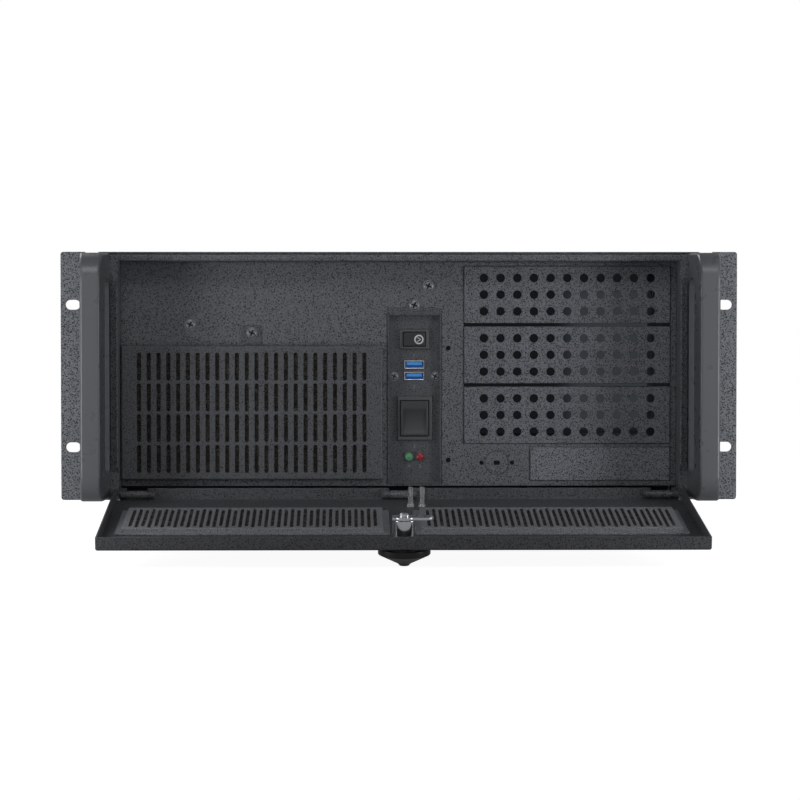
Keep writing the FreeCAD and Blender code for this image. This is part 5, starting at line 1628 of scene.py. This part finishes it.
@dataclass
class SoftBox:
    """A square lamp behind a white diffuser.

    Attributes:
        name: What the lamp is for.
        place: Its middle.
        aim: The point it faces.
        size: Width and height.
        power: Watts.
        spread: Angle of its beam in degrees, smaller when a grid covers it.
    """

    name: str
    place: tuple[float, float, float]
    aim: tuple[float, float, float]
    size: tuple[float, float]
    power: float
    spread: float = 180.0

    def build(self) -> None:
        """Hang the lamp."""
        light = bpy.data.lights.new(self.name, "AREA")
        light.shape = "RECTANGLE"
        light.size, light.size_y = self.size
        light.energy = self.power
        light.spread = math.radians(self.spread)
        lamp = bpy.data.objects.new(self.name, light)
        lamp.location = self.place
        lamp.rotation_euler = (Vector(self.place) - Vector(self.aim)).to_track_quat("Z", "Y").to_euler()
        bpy.context.scene.collection.objects.link(lamp)


@dataclass
class Studio:
    """A white floor, soft lamps, the camera and a glowing card of painted shade and light inside the case.

    Attributes:
        lens_mm: Focal length.
        eye: The camera's place.
        aim: The point it looks at.
        floor_half_width: Half the floor's width.
        floor_reach: Its near and its far edge.
        floor_shade: How much lamp light the floor returns.
        floor_glow: Its own white, short of 1 by the lamps' share.
        ambient: Strength of the world's light on the object.
        mirrored_share: How bright the white surroundings are in mirrored rays.
        painted_shade_colour: The card's shade as sRGB hex.
        painted_light_colour: The shade of its paler field.
        card_from_rear: Distance of the card from the model's rear end.
        card_half_size: Half its width and height.
        lit_side: Where its paler field fades in from the left.
        lit_foot: Where the field fades in from below.
        lit_head: Where the field fades out towards the top.
        lamps: The lamps.
    """

    lens_mm: float = 134.5
    eye: tuple[float, float, float] = (-0.038, -2.135, 0.057)
    aim: tuple[float, float, float] = (0.0004, -0.002, -0.0172)
    floor_half_width: float = 2.6
    floor_reach: tuple[float, float] = (-2.6, 0.7)
    floor_shade: float = 0.45
    floor_glow: float = 0.94
    ambient: float = 0.08
    mirrored_share: float = 0.18
    painted_shade_colour: str = "#141618"
    painted_light_colour: str = "#33373a"
    card_from_rear: float = 0.16
    card_half_size: tuple[float, float] = (0.212, 0.085)
    lit_side: tuple[float, float] = (0.13, 0.155)
    lit_foot: tuple[float, float] = (-0.054, -0.044)
    lit_head: tuple[float, float] = (0.058, 0.068)
    lamps: tuple[SoftBox, ...] = (
        SoftBox("left_softbox", (-0.46, -0.27, -0.02), (0.0, 0.02, -0.01), (0.12, 0.3), 0.78),
        SoftBox("right_softbox", (0.46, -0.27, -0.03), (0.0, 0.02, -0.02), (0.12, 0.3), 0.84),
        SoftBox("upper_strip", (0.0, -0.5, 0.52), (0.0, 0.02, 0.06), (1.5, 0.3), 0.19, 32.0),
        SoftBox("front_fill", (0.0, -3.2, 0.5), (0.0, 0.0, 0.0), (1.6, 1.2), 2.3),
        SoftBox("rear_softbox", (-1.2, 1.6, 1.6), (0.0, 0.4, 0.0), (1.2, 1.2), 18.0),
    )

    def build(self) -> None:
        """Set up world, floor, lamps and camera."""
        self.world()
        self.floor()
        self.inner_card()
        for lamp in self.lamps:
            lamp.build()
        self.camera()
        bpy.context.scene.view_settings.view_transform = "Standard"

    def world(self) -> None:
        """A white world to look at and mirror, dim for everything else."""
        world = bpy.data.worlds.new("studio")
        bpy.context.scene.world = world
        tree = blank_tree(world)
        dim = add_node(tree, "ShaderNodeBackground", {"Color": WHITE, "Strength": self.ambient})
        white = add_node(tree, "ShaderNodeBackground", {"Color": WHITE, "Strength": 1.0})
        mixed = add_node(tree, "ShaderNodeMixShader", {0: self.seen_rays(tree), 1: dim, 2: white})
        add_node(tree, "ShaderNodeOutputWorld", {"Surface": mixed})

    def inner_card(self) -> None:
        """A glowing card of painted shade and painted light inside the empty case, which keeps the white
        backdrop out of the front's holes.

        The openings of the rear wall would let them look right through the case.
        """
        half_width, half_height = self.card_half_size
        depth = CAD_BOX[1].y - self.card_from_rear
        select_only()
        upright = (math.pi / 2, 0.0, 0.0)
        bpy.ops.mesh.primitive_plane_add(size=2.0, location=(0.0, depth, 0.0), rotation=upright)
        card = bpy.context.object
        card.scale = (half_width, half_height, 1.0)
        settle(card)
        card.name = "inner_card"
        painted_light_card = bpy.data.materials.new("glowing_card_painted_light")
        tree = blank_tree(painted_light_card)
        place = add_node(tree, "ShaderNodeTexCoord").outputs["Object"]
        parts = add_node(tree, "ShaderNodeSeparateXYZ", {0: place}).outputs
        fades = (
            (parts[0], self.lit_side, (0.0, 1.0)),
            (parts[2], self.lit_foot, (0.0, 1.0)),
            (parts[2], self.lit_head, (1.0, 0.0)),
        )
        share: bpy.types.Node | float = 1.0
        for part, (start, end), (first, last) in fades:
            fade = add_node(
                tree,
                "ShaderNodeMapRange",
                {"Value": part, "From Min": start, "From Max": end, "To Min": first, "To Max": last},
                **EASED,
            )
            share = add_node(tree, "ShaderNodeMath", {0: share, 1: fade}, operation="MULTIPLY")
        dim, lit = to_linear(self.painted_shade_colour), to_linear(self.painted_light_colour)
        shade = add_node(tree, "ShaderNodeMix", {0: share, 6: dim, 7: lit}, **COLOURS)
        # The card glows on its own: painted shade, and painted light in its paler field, where light from
        # the front would fall through the holes.
        glow = add_node(tree, "ShaderNodeEmission", {"Color": shade.outputs[2], "Strength": 1.0})
        add_node(tree, "ShaderNodeOutputMaterial", {"Surface": glow})
        card.data.materials.append(painted_light_card)

    def seen_rays(self, tree: bpy.types.NodeTree) -> bpy.types.Node:
        """1 for rays from the camera and through clear parts, and less for mirrored ones.

        Args:
            tree: The node tree that asks.

        Returns:
            The node whose output says so.
        """
        path = add_node(tree, "ShaderNodeLightPath").outputs
        direct = add_node(
            tree,
            "ShaderNodeMath",
            {0: path["Is Camera Ray"], 1: path["Is Transmission Ray"]},
            operation="MAXIMUM",
        )
        mirrored = add_node(
            tree, "ShaderNodeMath", {0: path["Is Glossy Ray"], 1: self.mirrored_share}, operation="MULTIPLY"
        )
        return add_node(tree, "ShaderNodeMath", {0: direct, 1: mirrored}, operation="MAXIMUM")

    def floor(self) -> None:
        """A plain white floor under the lowest point, which keeps a faint shadow."""
        select_only()
        low = CAD_BOX[0].z
        near, far = self.floor_reach
        bpy.ops.mesh.primitive_plane_add(size=1.0, location=(0.0, (near + far) / 2, low))
        ground = bpy.context.object
        ground.scale = (2 * self.floor_half_width, far - near, 1.0)
        settle(ground)
        ground.name = "floor"
        paper = bpy.data.materials.new("white_paper")
        tree = blank_tree(paper)
        matt = add_node(tree, "ShaderNodeBsdfDiffuse", {"Color": shaded(WHITE, self.floor_shade)})
        glow = add_node(tree, "ShaderNodeEmission", {"Strength": self.floor_glow})
        lit = add_node(tree, "ShaderNodeAddShader", {0: matt, 1: glow})
        mixed = add_node(tree, "ShaderNodeMixShader", {0: self.seen_rays(tree), 1: matt, 2: lit})
        add_node(tree, "ShaderNodeOutputMaterial", {"Surface": mixed})
        ground.data.materials.append(paper)

    def camera(self) -> None:
        """A long lens a little above and left of the middle."""
        data = bpy.data.cameras.new("camera")
        data.lens = self.lens_mm
        data.clip_start = 0.05
        data.clip_end = 100.0
        camera = bpy.data.objects.new("camera", data)
        camera.location = self.eye
        camera.rotation_euler = (Vector(self.eye) - Vector(self.aim)).to_track_quat("Z", "Y").to_euler()
        bpy.context.scene.collection.objects.link(camera)
        bpy.context.scene.camera = camera


def main() -> None:
    """Build every sub-assembly, then the studio, and report each piece."""
    logging.basicConfig(level=logging.INFO, format="%(name)s: %(message)s")
    for assembly in (Shell(), FilterCover(), BayCovers(), ControlPanel(), Door(), Inside()):
        known = set(bpy.data.objects.keys())
        assembly.build()
        for name in sorted(set(bpy.data.objects.keys()) - known):
            faces = len(bpy.data.objects[name].data.polygons)
            LOG.info("%s: %s, %d faces", type(assembly).__name__, name, faces)
    left = [name for name in FRAME["nodes"] if name not in REPLACED]
    LOG.info("nodes without a dressed piece: %s", left)
    Studio().build()


if __name__ == "__main__":
    main()
